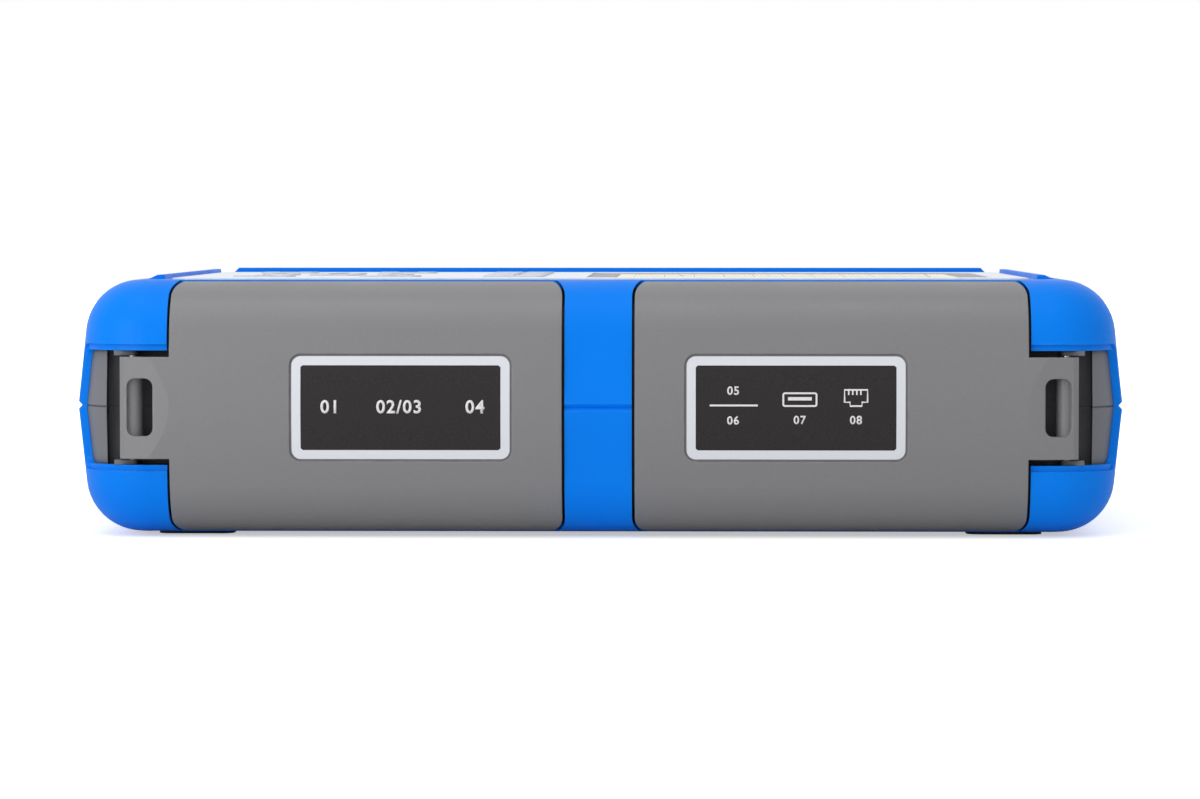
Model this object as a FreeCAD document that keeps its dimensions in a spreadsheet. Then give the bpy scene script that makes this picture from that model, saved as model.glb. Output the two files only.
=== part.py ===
import FreeCAD, Part
import Sketcher
import math
import os
import re

# An optical time domain reflectometer: a landscape field tester in two grey
# half shells under a blue overmould, lying on its back with its screen up.
# X runs across the connector end, -Y is the connector end, +Z is the screen
# side. The origin is on the ground, under the middle of the bounding box.

os.makedirs("parts", exist_ok=True)
doc = FreeCAD.newDocument("reflectometer")

# ---------------------------------------------------------------- sizes (mm)
SIZES = {
    # case
    "body_width": 250.0,
    "body_depth": 167.6,
    "front_depth": 30.0,
    "rear_depth": 30.2,
    "foot_height": 0.8,
    "plan_corner": 18.0,
    "edge_round": 13.2,
    "draft": 6.0,
    "skin": 1.9,
    "shell_wall": 2.4,
    "seam_chamfer": 0.9,
    "seam_line": 0.3,
    "gasket_width": 1.2,
    "fit_gap": 0.2,
    "overcut": 1.0,
    "far_cut": 5.0,
    # side rails and far bar on the front face
    "rail_inset": 20.0,
    "gutter": 2.0,
    "rail_height": 1.0,
    "rail_crest": 2.0,
    "rail_blend": 6.5,
    "rail_fall": 3.0,
    "rail_near_gap": 26.0,
    "rail_far_gap": 14.0,
    "bar_height": 1.4,
    "bar_depth": 5.5,
    "bar_setback": 16.0,
    "bar_inset": 3.4,
    # port doors
    "strip_width": 17.2,
    "door_proud": 0.4,
    "door_bow": 100.0,
    "door_wall": 2.6,
    "door_gap": 0.65,
    "door_corner": 3.6,
    "door_wrap": 12.6,
    "door_edge_drop": 0.2,
    "seat_gap": 0.8,
    # door hinges
    "hinge_inset": 14.5,
    "hinge_setback": 4.8,
    "pin_radius": 0.8,
    "pin_fit": 0.05,
    "pin_grip": 3.0,
    "barrel_radius": 2.4,
    "tongue_brow": 0.3,
    "tongue_round": 1.2,
    "tongue_reach": 9.2,
    "tongue_height": 24.1,
    "tongue_lift": -0.15,
    "tongue_wall": 2.2,
    "tongue_bend": 6.2,
    "tongue_overlap": 3.0,
    "slot_reach": 5.3,
    "slot_over": 0.9,
    "slot_height": 13.7,
    "slot_corner": 2.0,
    "ear_height": 1.2,
    "ear_radius": 1.4,
    "ear_reach": 4.2,
    "run_gap": 0.3,
    "pocket_out": 6.2,
    "pocket_back": 4.6,
    "window_back": 13.6,
    "hinge_wall": 2.0,
    "rim_width": 1.4,
    "rim_sink": 0.7,
    # door labels
    "label_width": 51.5,
    "label_height": 24.3,
    "label_corner": 2.2,
    "label_inset": 38.0,
    "label_thick": 0.3,
    "label_sink": 0.15,
    "label_rim": 0.5,
    # port bays
    "bay_depth": 22.0,
    "bay_rise": 19.0,
    "bay_inner_margin": 7.0,
    "bay_outer_margin": 8.0,
    "bay_corner": 4.0,
    "plate_thick": 2.0,
    "plate_lip": 1.5,
    "plate_gap": 0.1,
    "seal_margin": 1.0,
    "seal_width": 2.2,
    "seal_groove": 0.5,
    "seal_clear": 0.3,
    # fibre ports
    "port_pitch": 24.0,
    "flange_side": 12.6,
    "flange_thick": 1.6,
    "flange_corner": 1.5,
    "port_barrel_radius": 4.0,
    "port_barrel_length": 9.5,
    "port_bore_radius": 2.9,
    "port_bore_depth": 7.0,
    "sleeve_radius": 2.0,
    "ferrule_radius": 1.26,
    "meter_barrel_radius": 5.6,
    "meter_barrel_length": 8.0,
    "spigot_radius": 3.2,
    "spigot_length": 3.0,
    "port_wall": 1.1,
    "sleeve_sink": 0.8,
    "sleeve_root": 0.5,
    "keyway_width": 2.2,
    "keyway_depth": 4.0,
    # data ports
    "jack_inset": 12.0,
    "jack_width": 16.0,
    "jack_height": 13.5,
    "jack_length": 21.3,
    "jack_mouth_width": 11.8,
    "jack_mouth_height": 8.2,
    "jack_mouth_depth": 13.0,
    "jack_latch_width": 6.2,
    "jack_latch_height": 2.0,
    "usb_a_width": 13.1,
    "usb_a_height": 5.7,
    "usb_a_length": 14.0,
    "usb_wall": 0.35,
    "usb_a_tongue": 1.9,
    "usb_a_tongue_side": 1.1,
    "usb_a_tongue_gap": 0.4,
    "usb_tongue_sink": 1.0,
    "usb_back_wall": 1.5,
    "card_inset": 16.0,
    "card_width": 26.0,
    "card_height": 3.4,
    "card_length": 26.0,
    "card_slot_width": 24.3,
    "card_slot_height": 2.3,
    "card_back_wall": 2.0,
    "usb_c_width": 8.94,
    "usb_c_height": 3.2,
    "usb_c_length": 9.0,
    "usb_c_tongue": 0.7,
    "usb_c_tongue_side": 1.3,
    "usb_c_flat": 0.1,
    "usb_c_rise": 10.7,
    "riser_width": 12.0,
    "riser_length": 29.0,
    "riser_leg": 3.0,
    "port_proud": 0.8,
    "port_gap": 0.15,
    # boards
    "board_drop": 7.7,
    "board_thick": 1.6,
    "board_side": 33.0,
    "board_far": 32.0,
    "board_gap": 1.6,
    "standoff_radius": 2.6,
    "standoff_inset": 8.0,
    "standoff_y": 32.0,
    # optics inside
    "module_width": 84.0,
    "module_depth": 62.0,
    "module_height": 14.0,
    "module_inset": 2.0,
    "module_y": 2.0,
    "spool_radius": 28.0,
    "spool_core": 17.0,
    "spool_height": 8.0,
    "spool_rim": 1.0,
    "laser_radius": 4.5,
    "laser_length": 14.0,
    "detector_radius": 5.0,
    "detector_length": 9.0,
    # display and fascia
    "fascia_near": 17.0,
    "fascia_far": 22.5,
    "fascia_corner": 6.0,
    "fascia_rise": 0.3,
    "glass_edge": 8.0,
    "glass_depth": 91.4,
    "glass_corner": 3.0,
    "glass_thick": 2.0,
    "glass_gap": 0.2,
    "lcd_margin": 2.4,
    "lcd_thick": 5.5,
    # keys
    "key_width": 15.0,
    "key_depth": 9.0,
    "key_corner": 3.0,
    "key_rise": 0.35,
    "key_travel": 0.6,
    "key_gap": 0.35,
    "key_lip": 0.9,
    "key_lip_thick": 1.2,
    "soft_key_step": 46.0,
    "soft_key_gap": 18.0,
    "soft_key_pitch": 18.0,
    "pad_inset": 35.5,
    "arrow_reach": 14.5,
    "arrow_width": 12.0,
    "ok_radius": 6.5,
    "corner_key_x": 15.5,
    "corner_key_y": 35.0,
    "pad_margin": 3.0,
    "mat_thick": 1.5,
    "mat_rim": 1.5,
    "led_radius": 1.2,
    "led_pitch": 8.0,
    "led_setback": 14.05,
    # rear: window, battery, stand, feet, screws
    "window_side": 37.0,
    "window_near": 25.6,
    "window_far": 18.0,
    "window_corner": 8.0,
    "battery_side": 30.0,
    "battery_depth": 44.0,
    "battery_height": 14.0,
    "battery_inset": 48.0,
    "battery_gap": 0.5,
    "cover_rim": 6.0,
    "cover_thick": 2.0,
    "cover_corner": 3.0,
    "cover_screw_inset": 3.0,
    "screw_radius": 1.2,
    "screw_head": 2.4,
    "screw_sink": 1.1,
    "screw_length": 8.0,
    "stand_side": 30.0,
    "stand_cover_wall": 1.7,
    "recess_corner": 1.0,
    "stand_thick": 3.6,
    "stand_setback": 40.6,
    "stand_barrel": 2.2,
    "stand_axis_rise": 2.6,
    "stand_corner": 5.0,
    "stand_gap": 0.4,
    "stand_pin_radius": 1.2,
    "stand_pin_length": 8.0,
    "finger_width": 24.0,
    "finger_depth": 6.4,
    "foot_inset": 28.0,
    "foot_margin": 22.8,
    "foot_width": 18.0,
    "foot_depth": 10.0,
    "foot_corner": 3.0,
    "case_screw_inset": 25.5,
    "case_screw_margin": 37.8,
    "case_screw_radius": 1.5,
    "case_screw_head": 2.8,
    "case_screw_head_height": 1.6,
    "case_boss_radius": 3.6,
    "case_screw_bite": 12.0,
    "speaker_inset": 10.0,
    "speaker_y": 14.0,
    "speaker_radius": 9.0,
    "speaker_thick": 4.5,
    "grille_slot": 1.2,
    "grille_length": 12.0,
    "grille_pitch": 3.0,
}

# Places worked out from those sizes, in the sheet's own words.
PLACES = {
    "side_x": "body_width / 2",
    "mid_y": "door_proud / 2",
    "end_y": "mid_y - body_depth / 2",
    "far_y": "mid_y + body_depth / 2",
    "rear_z": "foot_height",
    "seam_z": "foot_height + rear_depth",
    "front_z": "seam_z + front_depth",
    "housing_front_z": "front_z - skin",
    "ceiling_z": "housing_front_z - shell_wall",
    "housing_rear_z": "rear_z + skin",
    "floor_z": "housing_rear_z + shell_wall",
    "hinge_x": "side_x - hinge_inset",
    "hinge_y": "end_y + hinge_setback",
    "door_in_x": "strip_width / 2",
    "door_out_x": "hinge_x - tongue_reach",
    "door_back_y": "end_y + door_wrap",
    "door_face_y": "end_y - door_proud",
    "tongue_z": "seam_z + tongue_lift",
    "tongue_low_z": "tongue_z - tongue_height / 2",
    "tongue_high_z": "tongue_z + tongue_height / 2",
    "notch_low_z": "tongue_low_z - run_gap - ear_height",
    "notch_high_z": "tongue_high_z + run_gap + ear_height",
    "pocket_in_x": "door_out_x - door_gap",
    "pocket_out_x": "hinge_x + pocket_out",
    "pocket_back_y": "hinge_y + pocket_back",
    "bay_in_x": "door_in_x + bay_inner_margin",
    "bay_out_x": "door_out_x - bay_outer_margin",
    "bay_low_z": "seam_z - bay_rise",
    "bay_high_z": "seam_z + bay_rise",
    "plate_y": "end_y + bay_depth",
    "plate_back_y": "plate_y + plate_thick",
    "tray_back_y": "plate_back_y + 2 * plate_thick",
    "board_top_z": "seam_z - board_drop",
    "board_low_z": "board_top_z - board_thick",
    "board_front_y": "tray_back_y + board_gap",
    "module_top_z": "board_top_z + module_height",
    "rail_inner": "side_x - rail_inset",
    "fascia_width": "2 * (rail_inner - gutter)",
    "label_x": "door_in_x + label_inset",
    "port_mid_x": "(bay_in_x + bay_out_x) / 2",
    "card_x": "bay_in_x + card_inset",
    "jack_x": "bay_out_x - jack_inset",
    "usb_a_x": "(card_x + card_width / 2 + jack_x - jack_width / 2) / 2",
    "board_width": "2 * (side_x - board_side)",
    "standoff_x": "board_width / 2 - standoff_inset",
    "module_x": "module_width / 2 + module_inset - board_width / 2",
    "fascia_near_y": "end_y + fascia_near",
    "fascia_far_y": "far_y - fascia_far",
    "fascia_top_z": "front_z + fascia_rise",
    "fascia_mid_y": "(fascia_near_y + fascia_far_y) / 2",
    "key_top_z": "fascia_top_z + key_rise",
    "lip_top_z": "housing_front_z - run_gap",
    "lip_low_z": "lip_top_z - key_lip_thick",
    "mat_top_z": "lip_low_z - key_travel - run_gap",
    "mat_low_z": "mat_top_z - mat_thick",
    "pad_x": "pad_inset - fascia_width / 2",
    "soft_key_x": "pad_x + soft_key_step",
    "glass_low_x": "soft_key_x + soft_key_gap",
    "glass_high_x": "fascia_width / 2 - glass_edge",
    "pad_high_x": "soft_key_x + key_width / 2 + pad_margin",
    "pad_low_x": "pad_x - corner_key_x - key_width / 2 - pad_margin",
    "pad_near_y": "fascia_mid_y - 2 * soft_key_pitch - key_depth / 2 - pad_margin",
    "pad_far_y": "fascia_mid_y + 2 * soft_key_pitch + key_depth / 2 + pad_margin",
    "case_screw_x": "side_x - case_screw_inset",
    "case_screw_y": "body_depth / 2 - case_screw_margin",
    "foot_x": "side_x - foot_inset",
    "foot_y": "body_depth / 2 - foot_margin",
    "window_width": "body_width - 2 * window_side",
    "speaker_x": "window_width / 2 - speaker_inset",
    "battery_width": "window_width - 2 * battery_side",
    "battery_y": "far_y - battery_inset",
    "stand_hinge_y": "end_y + stand_setback",
    "cover_low_z": "housing_rear_z",
    "cover_top_z": "cover_low_z + cover_thick",
    "well_top_z": "cover_top_z + battery_height + battery_gap",
    "stand_axis_z": "rear_z + stand_axis_rise",
    "stand_low_z": "stand_axis_z - stand_barrel",
    "stand_high_z": "stand_low_z + stand_thick",
    "stand_width": "window_width - 2 * stand_side",
    "cover_near_y": "battery_y - battery_depth / 2 - battery_gap - cover_rim / 2",
    "stand_far_y": "cover_near_y - stand_cover_wall - stand_gap - finger_depth",
    "recess_z": "stand_axis_z + stand_barrel + stand_gap",
    "jack_low_z": "board_top_z",
}

sheet = doc.addObject("Spreadsheet::Sheet", "dims")
for row, (alias, value) in enumerate(SIZES.items(), start=1):
    sheet.set(f"A{row}", alias.replace("_", " "))
    sheet.set(f"B{row}", str(value))
    sheet.setAlias(f"B{row}", alias)
doc.recompute()


# ------------------------------------------------------------------ helpers
def bind(text):
    """Spell a length written in plain names out in the sheet's cells."""
    def spell(match):
        word = match.group(0)
        if word in PLACES:
            return "(" + bind(PLACES[word]) + ")"
        if word in SIZES:
            return "dims." + word
        return word
    return re.sub(r"[a-z][a-z_0-9]*", spell, str(text))


def place(part, x="0", y="0", z="0", turn=None):
    """Put a part at a point given in the sheet's names, turned as asked."""
    if turn is not None:
        part.Placement = FreeCAD.Placement(FreeCAD.Vector(), turn)
    for axis, text in zip("xyz", (x, y, z)):
        part.setExpression("Placement.Base." + axis, bind(text))
    return part


def span(pair):
    """The length between the two ends of a (low, high) pair."""
    return f"({pair[1]}) - ({pair[0]})"


def middle(pair):
    """The point halfway between the two ends of a (low, high) pair."""
    return f"(({pair[0]}) + ({pair[1]})) / 2"


def about(centre, size):
    """A (low, high) pair of this size about a centre."""
    return (f"({centre}) - ({size}) / 2", f"({centre}) + ({size}) / 2")


def box(name, xs, ys, zs):
    """A plain box between three (low, high) pairs."""
    part = doc.addObject("Part::Box", name)
    for side, pair in zip(("Length", "Width", "Height"), (xs, ys, zs)):
        part.setExpression(side, bind(span(pair)))
    return place(part, xs[0], ys[0], zs[0])


TURNS = {
    "z": FreeCAD.Rotation(),
    "x": FreeCAD.Rotation(FreeCAD.Vector(0, 1, 0), 90),
    "y": FreeCAD.Rotation(FreeCAD.Vector(1, 0, 0), -90),
}


def rod(name, radius, along, centre, axis="z"):
    """A cylinder: along is its (low, high) pair, centre its two cross places."""
    part = doc.addObject("Part::Cylinder", name)
    part.setExpression("Radius", bind(radius))
    part.setExpression("Height", bind(span(along)))
    spots = {
        "x": (along[0], centre[0], centre[1]),
        "y": (centre[0], along[0], centre[1]),
        "z": (centre[0], centre[1], along[0]),
    }
    return place(part, *spots[axis], turn=TURNS[axis])


def new_body(name):
    """An empty body."""
    return doc.addObject("PartDesign::Body", name)


def new_sketch(body, name):
    """A sketch on the body's own XY plane."""
    sketch = body.newObject("Sketcher::SketchObject", name)
    planes = body.Origin.OriginFeatures
    flat = next(plane for plane in planes if plane.Role == "XY_Plane")
    sketch.AttachmentSupport = [(flat, "")]
    sketch.MapMode = "FlatFace"
    return sketch


def pad_of(body, sketch, length):
    """Pad the sketch upward by a length in the sheet's names."""
    pad = body.newObject("PartDesign::Pad", sketch.Name + "_pad")
    pad.Profile = sketch
    pad.setExpression("Length", bind(length))
    sketch.Visibility = False
    return pad


def hold(sketch, kind, *parts, first=0.0, value=None):
    """Add a constraint; one with a value starts as drawn and is bound to the sheet."""
    if value is None:
        sketch.addConstraint(Sketcher.Constraint(kind, *parts))
        return
    index = sketch.addConstraint(Sketcher.Constraint(kind, *parts, first))
    sketch.setExpression(f"Constraints[{index}]", bind(value))


def rounded_rectangle(sketch, width, depth, corner):
    """A rectangle about the sketch's origin with rounded corners."""
    half_x, half_y, turn = 10.0, 8.0, 2.0
    inner_x, inner_y = half_x - turn, half_y - turn
    point = FreeCAD.Vector
    sides = [
        (point(-inner_x, -half_y), point(inner_x, -half_y)),
        (point(half_x, -inner_y), point(half_x, inner_y)),
        (point(inner_x, half_y), point(-inner_x, half_y)),
        (point(-half_x, inner_y), point(-half_x, -inner_y)),
    ]
    centres = [(inner_x, -inner_y), (inner_x, inner_y), (-inner_x, inner_y), (-inner_x, -inner_y)]
    for start, end in sides:
        sketch.addGeometry(Part.LineSegment(start, end))
    for index, (x, y) in enumerate(centres):
        circle = Part.Circle(point(x, y), point(0, 0, 1), turn)
        start = math.radians(-90 + 90 * index)
        sketch.addGeometry(Part.ArcOfCircle(circle, start, start + math.pi / 2))
    for index in range(4):
        hold(sketch, "Tangent", index, 2, 4 + index, 1)
        hold(sketch, "Tangent", 4 + index, 2, (index + 1) % 4, 1)
    for index in (5, 6, 7):
        hold(sketch, "Equal", 4, index)
    for index in (0, 2):
        hold(sketch, "Horizontal", index)
        hold(sketch, "Vertical", index + 1)
    hold(sketch, "Radius", 4, first=turn, value=corner)
    hold(sketch, "DistanceX", -1, 1, 1, 1, first=half_x, value=f"({width}) / 2")
    hold(sketch, "DistanceX", 3, 1, -1, 1, first=half_x, value=f"({width}) / 2")
    hold(sketch, "DistanceY", -1, 1, 2, 1, first=half_y, value=f"({depth}) / 2")
    hold(sketch, "DistanceY", 0, 1, -1, 1, first=half_y, value=f"({depth}) / 2")


def slab(name, xs, ys, zs, corner, facing="z"):
    """A flat piece between three pairs, its corners rounded about one axis."""
    pairs = {"x": xs, "y": ys, "z": zs}
    across = {"z": ("x", "y"), "y": ("x", "z"), "x": ("z", "y")}[facing]
    body = new_body(name)
    sketch = new_sketch(body, name + "_outline")
    rounded_rectangle(sketch, span(pairs[across[0]]), span(pairs[across[1]]), corner)
    pad_of(body, sketch, span(pairs[facing]))
    spot = {axis: middle(pair) for axis, pair in pairs.items()}
    spot[facing] = pairs[facing][0]
    return place(body, spot["x"], spot["y"], spot["z"], turn=TURNS[facing])


def profile(name, points, length):
    """A pad of a straight-sided outline, each corner bound to the sheet."""
    body = new_body(name)
    sketch = new_sketch(body, name + "_outline")
    count = len(points)
    ring = []
    for index in range(count):
        angle = 2 * math.pi * index / count
        ring.append(FreeCAD.Vector(10 * math.cos(angle), 10 * math.sin(angle), 0))
    for index in range(count):
        sketch.addGeometry(Part.LineSegment(ring[index], ring[(index + 1) % count]))
    for index in range(count):
        hold(sketch, "Coincident", index, 2, (index + 1) % count, 1)
    for index, (x, y) in enumerate(points):
        hold(sketch, "DistanceX", -1, 1, index, 1, first=ring[index].x, value=x)
        hold(sketch, "DistanceY", -1, 1, index, 1, first=ring[index].y, value=y)
    pad_of(body, sketch, length)
    return body


def fuse(name, *shapes):
    """One solid, or a tool, from several shapes."""
    part = doc.addObject("Part::MultiFuse", name)
    part.Shapes = list(shapes)
    return part


def common(name, *shapes):
    """What the shapes share."""
    part = doc.addObject("Part::MultiCommon", name)
    part.Shapes = list(shapes)
    return part


def cut(name, base, *tools):
    """The base less every tool."""
    part = doc.addObject("Part::Cut", name)
    part.Base = base
    part.Tool = tools[0] if len(tools) == 1 else fuse(name + "_tools", *tools)
    return part


def group(name, shapes):
    """Separate like solids under one name."""
    part = doc.addObject("Part::Compound", name)
    part.Links = list(shapes)
    return part


def mirror(name, source):
    """The same shape on the other side of the middle plane."""
    part = doc.addObject("Part::Mirroring", name)
    part.Source = source
    part.Base = FreeCAD.Vector(0, 0, 0)
    part.Normal = FreeCAD.Vector(1, 0, 0)
    return part


NODES = []


def piece(name, part):
    """Name a finished piece as one of the part's nodes."""
    part.Label = name
    NODES.append(part)
    return part


# ------------------------------------------------------- case envelope tools
def envelope(name, inset, half, seam_edge=None):
    """One half of the case outline, drafted from the seam, edges rounded."""
    depth = "front_depth" if half == "front" else "rear_depth"
    body = new_body(name)
    sketch = new_sketch(body, name + "_plan")
    width = f"body_width - 2 * ({inset})"
    length = f"body_depth - 2 * ({inset})"
    rounded_rectangle(sketch, width, length, f"plan_corner - ({inset})")
    pad = pad_of(body, sketch, f"{depth} - ({inset})")
    pad.setExpression("TaperAngle", bind("-draft"))
    doc.recompute()
    top = pad.Shape.BoundBox.ZMax
    edges = enumerate(pad.Shape.Edges, start=1)
    rim = [f"Edge{index}" for index, edge in edges if edge.BoundBox.ZMin > top - 0.01]
    rounding = body.newObject("PartDesign::Fillet", name + "_rounding")
    rounding.Base = (pad, rim)
    rounding.setExpression("Radius", bind(f"edge_round - ({inset})"))
    doc.recompute()
    if seam_edge is not None:
        edges = enumerate(rounding.Shape.Edges, start=1)
        seam = [f"Edge{index}" for index, edge in edges if edge.BoundBox.ZMax < 0.01]
        groove = body.newObject("PartDesign::Chamfer", name + "_seam_groove")
        groove.Base = (rounding, seam)
        groove.setExpression("Size", bind(seam_edge))
    if half == "rear":
        place(body, "0", "mid_y", "seam_z", turn=FreeCAD.Rotation(FreeCAD.Vector(1, 0, 0), 180))
    else:
        place(body, "0", "mid_y", "seam_z")
    return body


def end_barrel(name, xs, inset):
    """The bowed end that the doors follow: a slow curve with rounded edges."""
    drum = rod(name + "_drum", f"door_bow - ({inset})", xs,
               ("door_face_y + door_bow", "seam_z"), axis="x")
    slice_ = box(name + "_slice", xs, ("door_face_y - overcut", "mid_y"), grown(door_z, f"-({inset})"))
    blank = common(name + "_blank", drum, slice_)
    doc.recompute()
    round_part = doc.addObject("Part::Fillet", name)
    round_part.Base = blank
    radius = SIZES["edge_round"] + SIZES["door_proud"] - float(sheet_value(inset))
    back = blank.Shape.BoundBox.YMax
    width = blank.Shape.BoundBox.XLength
    chosen = []
    for index, edge in enumerate(blank.Shape.Edges, start=1):
        bounds = edge.BoundBox
        if bounds.XLength > width - 0.01 and bounds.YMax < back - 1 and bounds.ZLength < 0.01:
            chosen.append((index, radius, radius))
    round_part.Edges = chosen
    return round_part


def sheet_value(text):
    """The present value of a sum of sheet names."""
    total = 0.0
    for term in str(text).split("+"):
        term = term.strip()
        total += SIZES[term] if term in SIZES else float(term)
    return total


wide_x = ("-side_x - far_cut", "side_x + far_cut")
tall_z = ("-2 * far_cut", "front_z + 2 * far_cut")
bay_x = ("bay_in_x", "bay_out_x")
bay_z = ("bay_low_z", "bay_high_z")
door_x = ("door_in_x", "door_out_x")
door_z = ("rear_z + door_edge_drop", "front_z - door_edge_drop")
notch_z = ("notch_low_z", "notch_high_z")


def grown(pair, margin):
    """A pair moved apart at both ends."""
    return (f"{pair[0]} - ({margin})", f"{pair[1]} + ({margin})")


def both(name, source):
    """A tool on the right, and its mirror on the left."""
    return fuse(name, source, mirror(name + "_left", source))


front_outer = envelope("front_outer", "0", "front", seam_edge="seam_chamfer")
rear_outer = envelope("rear_outer", "0", "rear", seam_edge="seam_chamfer")
front_skin_line = envelope("front_skin_line", "skin", "front", seam_edge="seam_line")
rear_skin_line = envelope("rear_skin_line", "skin", "rear", seam_edge="seam_line")
front_rim_line = envelope("front_rim_line", "rim_sink", "front")
rear_rim_line = envelope("rear_rim_line", "rim_sink", "rear")
front_inner = envelope("front_inner", "skin + shell_wall", "front")
rear_inner = envelope("rear_inner", "skin + shell_wall", "rear")

# What a door and its clearance take out of the case.
door_zone = slab("door_zone", grown(door_x, "door_gap"), ("end_y - 4 * far_cut", "door_back_y + door_gap"),
                 grown(door_z, "door_gap"), "door_corner + door_gap", facing="y")
seat_barrel = end_barrel("seat_barrel", wide_x, "door_wall + seat_gap")
door_cut = cut("door_cut", both("door_zones", door_zone), seat_barrel)

# The inside of the end wall keeps one wall behind the door seats.
end_wall_barrel = end_barrel("end_wall_barrel", wide_x, "door_wall + seat_gap + shell_wall")
end_wall_pack = cut(
    "end_wall_pack",
    box("end_wall_block", wide_x, ("end_y - far_cut", "door_back_y + door_gap + shell_wall"), tall_z),
    end_wall_barrel,
)

# Port bays: a pocket, a lipped plate seat behind it, and a walled tray.
bay_pocket = slab("bay_pocket", bay_x, ("end_y - far_cut", "plate_y"), bay_z, "bay_corner", facing="y")
plate_seat = slab("plate_seat", grown(bay_x, "plate_lip"), ("plate_y", "tray_back_y + overcut"),
                  grown(bay_z, "plate_lip"), "bay_corner", facing="y")
bay_tray = slab("bay_tray", grown(bay_x, "plate_lip + shell_wall"), ("end_y - far_cut", "tray_back_y"),
                grown(bay_z, "plate_lip + shell_wall"), "bay_corner + shell_wall", facing="y")
bay_hollow = both("bay_hollow", fuse("bay_hollow_right", bay_pocket, plate_seat))

# The groove round each bay mouth that holds the door seal.
seal_outer = slab("seal_outer", grown(bay_x, "seal_margin + seal_width"),
                  ("end_y - far_cut", "plate_y - far_cut"), grown(bay_z, "seal_margin + seal_width"),
                  "bay_corner + seal_margin + seal_width", facing="y")
seal_inner = slab("seal_inner", grown(bay_x, "seal_margin"),
                  ("end_y - far_cut - overcut", "plate_y - far_cut + overcut"),
                  grown(bay_z, "seal_margin"), "bay_corner + seal_margin", facing="y")
seal_ring = cut("seal_ring", seal_outer, seal_inner)
seal_floor = end_barrel("seal_floor", wide_x, "door_wall + seat_gap + seal_groove")
seal_groove = cut("seal_groove", both("seal_rings", seal_ring), seal_floor)

# Hinge corners: the window in the skin, the pocket for the tongue, the block
# that walls it in, the ears and the pin's bore.
skin_window = slab("skin_window", ("pocket_in_x", "side_x + 2 * far_cut"),
                   ("end_y - 2 * far_cut", "end_y + window_back"),
                   notch_z, "slot_corner", facing="x")
hinge_pocket = box("hinge_pocket", ("pocket_in_x", "pocket_out_x"),
                   ("end_y - 2 * far_cut", "pocket_back_y"), notch_z)
hinge_block = box("hinge_block", ("pocket_in_x - hinge_wall", "pocket_out_x + hinge_wall"),
                  ("end_y - far_cut", "pocket_back_y + hinge_wall"), grown(notch_z, "pin_grip + hinge_wall"))
hinge_spot = ("hinge_x", "hinge_y")
pin_bore = rod("pin_bore", "pin_radius", grown(notch_z, "pin_grip"), hinge_spot)


def ear(name, zs):
    """A short lug that stands out of the notch and carries the pin."""
    knuckle = rod(name + "_knuckle", "ear_radius", zs, hinge_spot)
    root = box(name + "_root", ("hinge_x - ear_radius", "hinge_x + ear_reach"),
               ("hinge_y", "pocket_back_y"), zs)
    brow = box(name + "_brow", ("hinge_x", "hinge_x + ear_reach"),
               ("hinge_y - ear_radius", "hinge_y"), zs)
    return fuse(name, knuckle, root, brow)


upper_ear = ear("upper_ear", ("notch_high_z - ear_height", "notch_high_z"))
lower_ear = ear("lower_ear", ("notch_low_z", "notch_low_z + ear_height"))

# -------------------------------------------------------------- rear openings
window_x = about("0", "window_width")
window_y = ("end_y + window_near", "far_y - window_far")
rear_window = slab("rear_window", window_x, window_y, ("rear_z - far_cut", "housing_rear_z"),
                   "window_corner")
well_x = about("0", "battery_width + 2 * battery_gap")
well_y = about("battery_y", "battery_depth + 2 * battery_gap")
battery_well = slab("battery_well", well_x, well_y, ("rear_z - 2 * overcut", "well_top_z"), "cover_corner")
cover_x = grown(well_x, "cover_rim")
cover_y = grown(well_y, "cover_rim / 2")
cover_seat = slab("cover_seat", grown(cover_x, "fit_gap"), grown(cover_y, "fit_gap"),
                  ("rear_z - 2 * overcut", "cover_top_z"), "cover_corner")
well_block = box("well_block", grown(cover_x, "fit_gap"), grown(cover_y, "fit_gap"),
                 ("rear_z", "well_top_z + shell_wall"))
stand_x = about("0", "stand_width")
stand_y = ("stand_hinge_y - stand_barrel", "stand_far_y")
stand_recess = slab("stand_recess", grown(stand_x, "stand_gap"), grown(stand_y, "stand_gap"),
                    ("rear_z - 2 * overcut", "recess_z"), "stand_gap + recess_corner")
finger_x = about("0", "finger_width")
finger_y = ("stand_far_y", "stand_far_y + stand_gap + finger_depth")
finger_cut = box("finger_cut", finger_x, finger_y, ("rear_z - 2 * overcut", "recess_z"))
stand_block = box("stand_block", grown(stand_x, "stand_pin_length"),
                  ("stand_hinge_y - stand_barrel - stand_gap - shell_wall",
                   "stand_far_y + finger_depth + stand_gap + shell_wall"),
                  ("rear_z", "recess_z + shell_wall"))
stand_pin_spot = ("stand_hinge_y", "stand_axis_z")
stand_pin_x = about("stand_width / 2 + stand_gap", "stand_pin_length")
stand_pin_bore = rod("stand_pin_bore", "stand_pin_radius", stand_pin_x, stand_pin_spot, axis="x")
stand_pin_bores = both("stand_pin_bores", stand_pin_bore)


def corners(name, x, y, make):
    """Four like shapes at plus and minus x and y."""
    shapes = []
    for index, (right, far) in enumerate([(1, 1), (1, -1), (-1, 1), (-1, -1)]):
        shapes.append(make(f"{name}_{index + 1}", f"{right} * ({x})", f"{far} * ({y})"))
    return shapes


# Case screws run from the rear face up into the front shell.
case_screw_top = "seam_z + case_screw_bite"


def case_screw(name, x, y):
    """A pan head screw with its head sunk in the rear of the skin."""
    shank = rod(name + "_shank", "case_screw_radius", ("housing_rear_z", case_screw_top), (x, y))
    head = rod(name + "_head", "case_screw_head",
               ("housing_rear_z - case_screw_head_height", "housing_rear_z"), (x, y))
    return fuse(name, shank, head)


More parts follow.
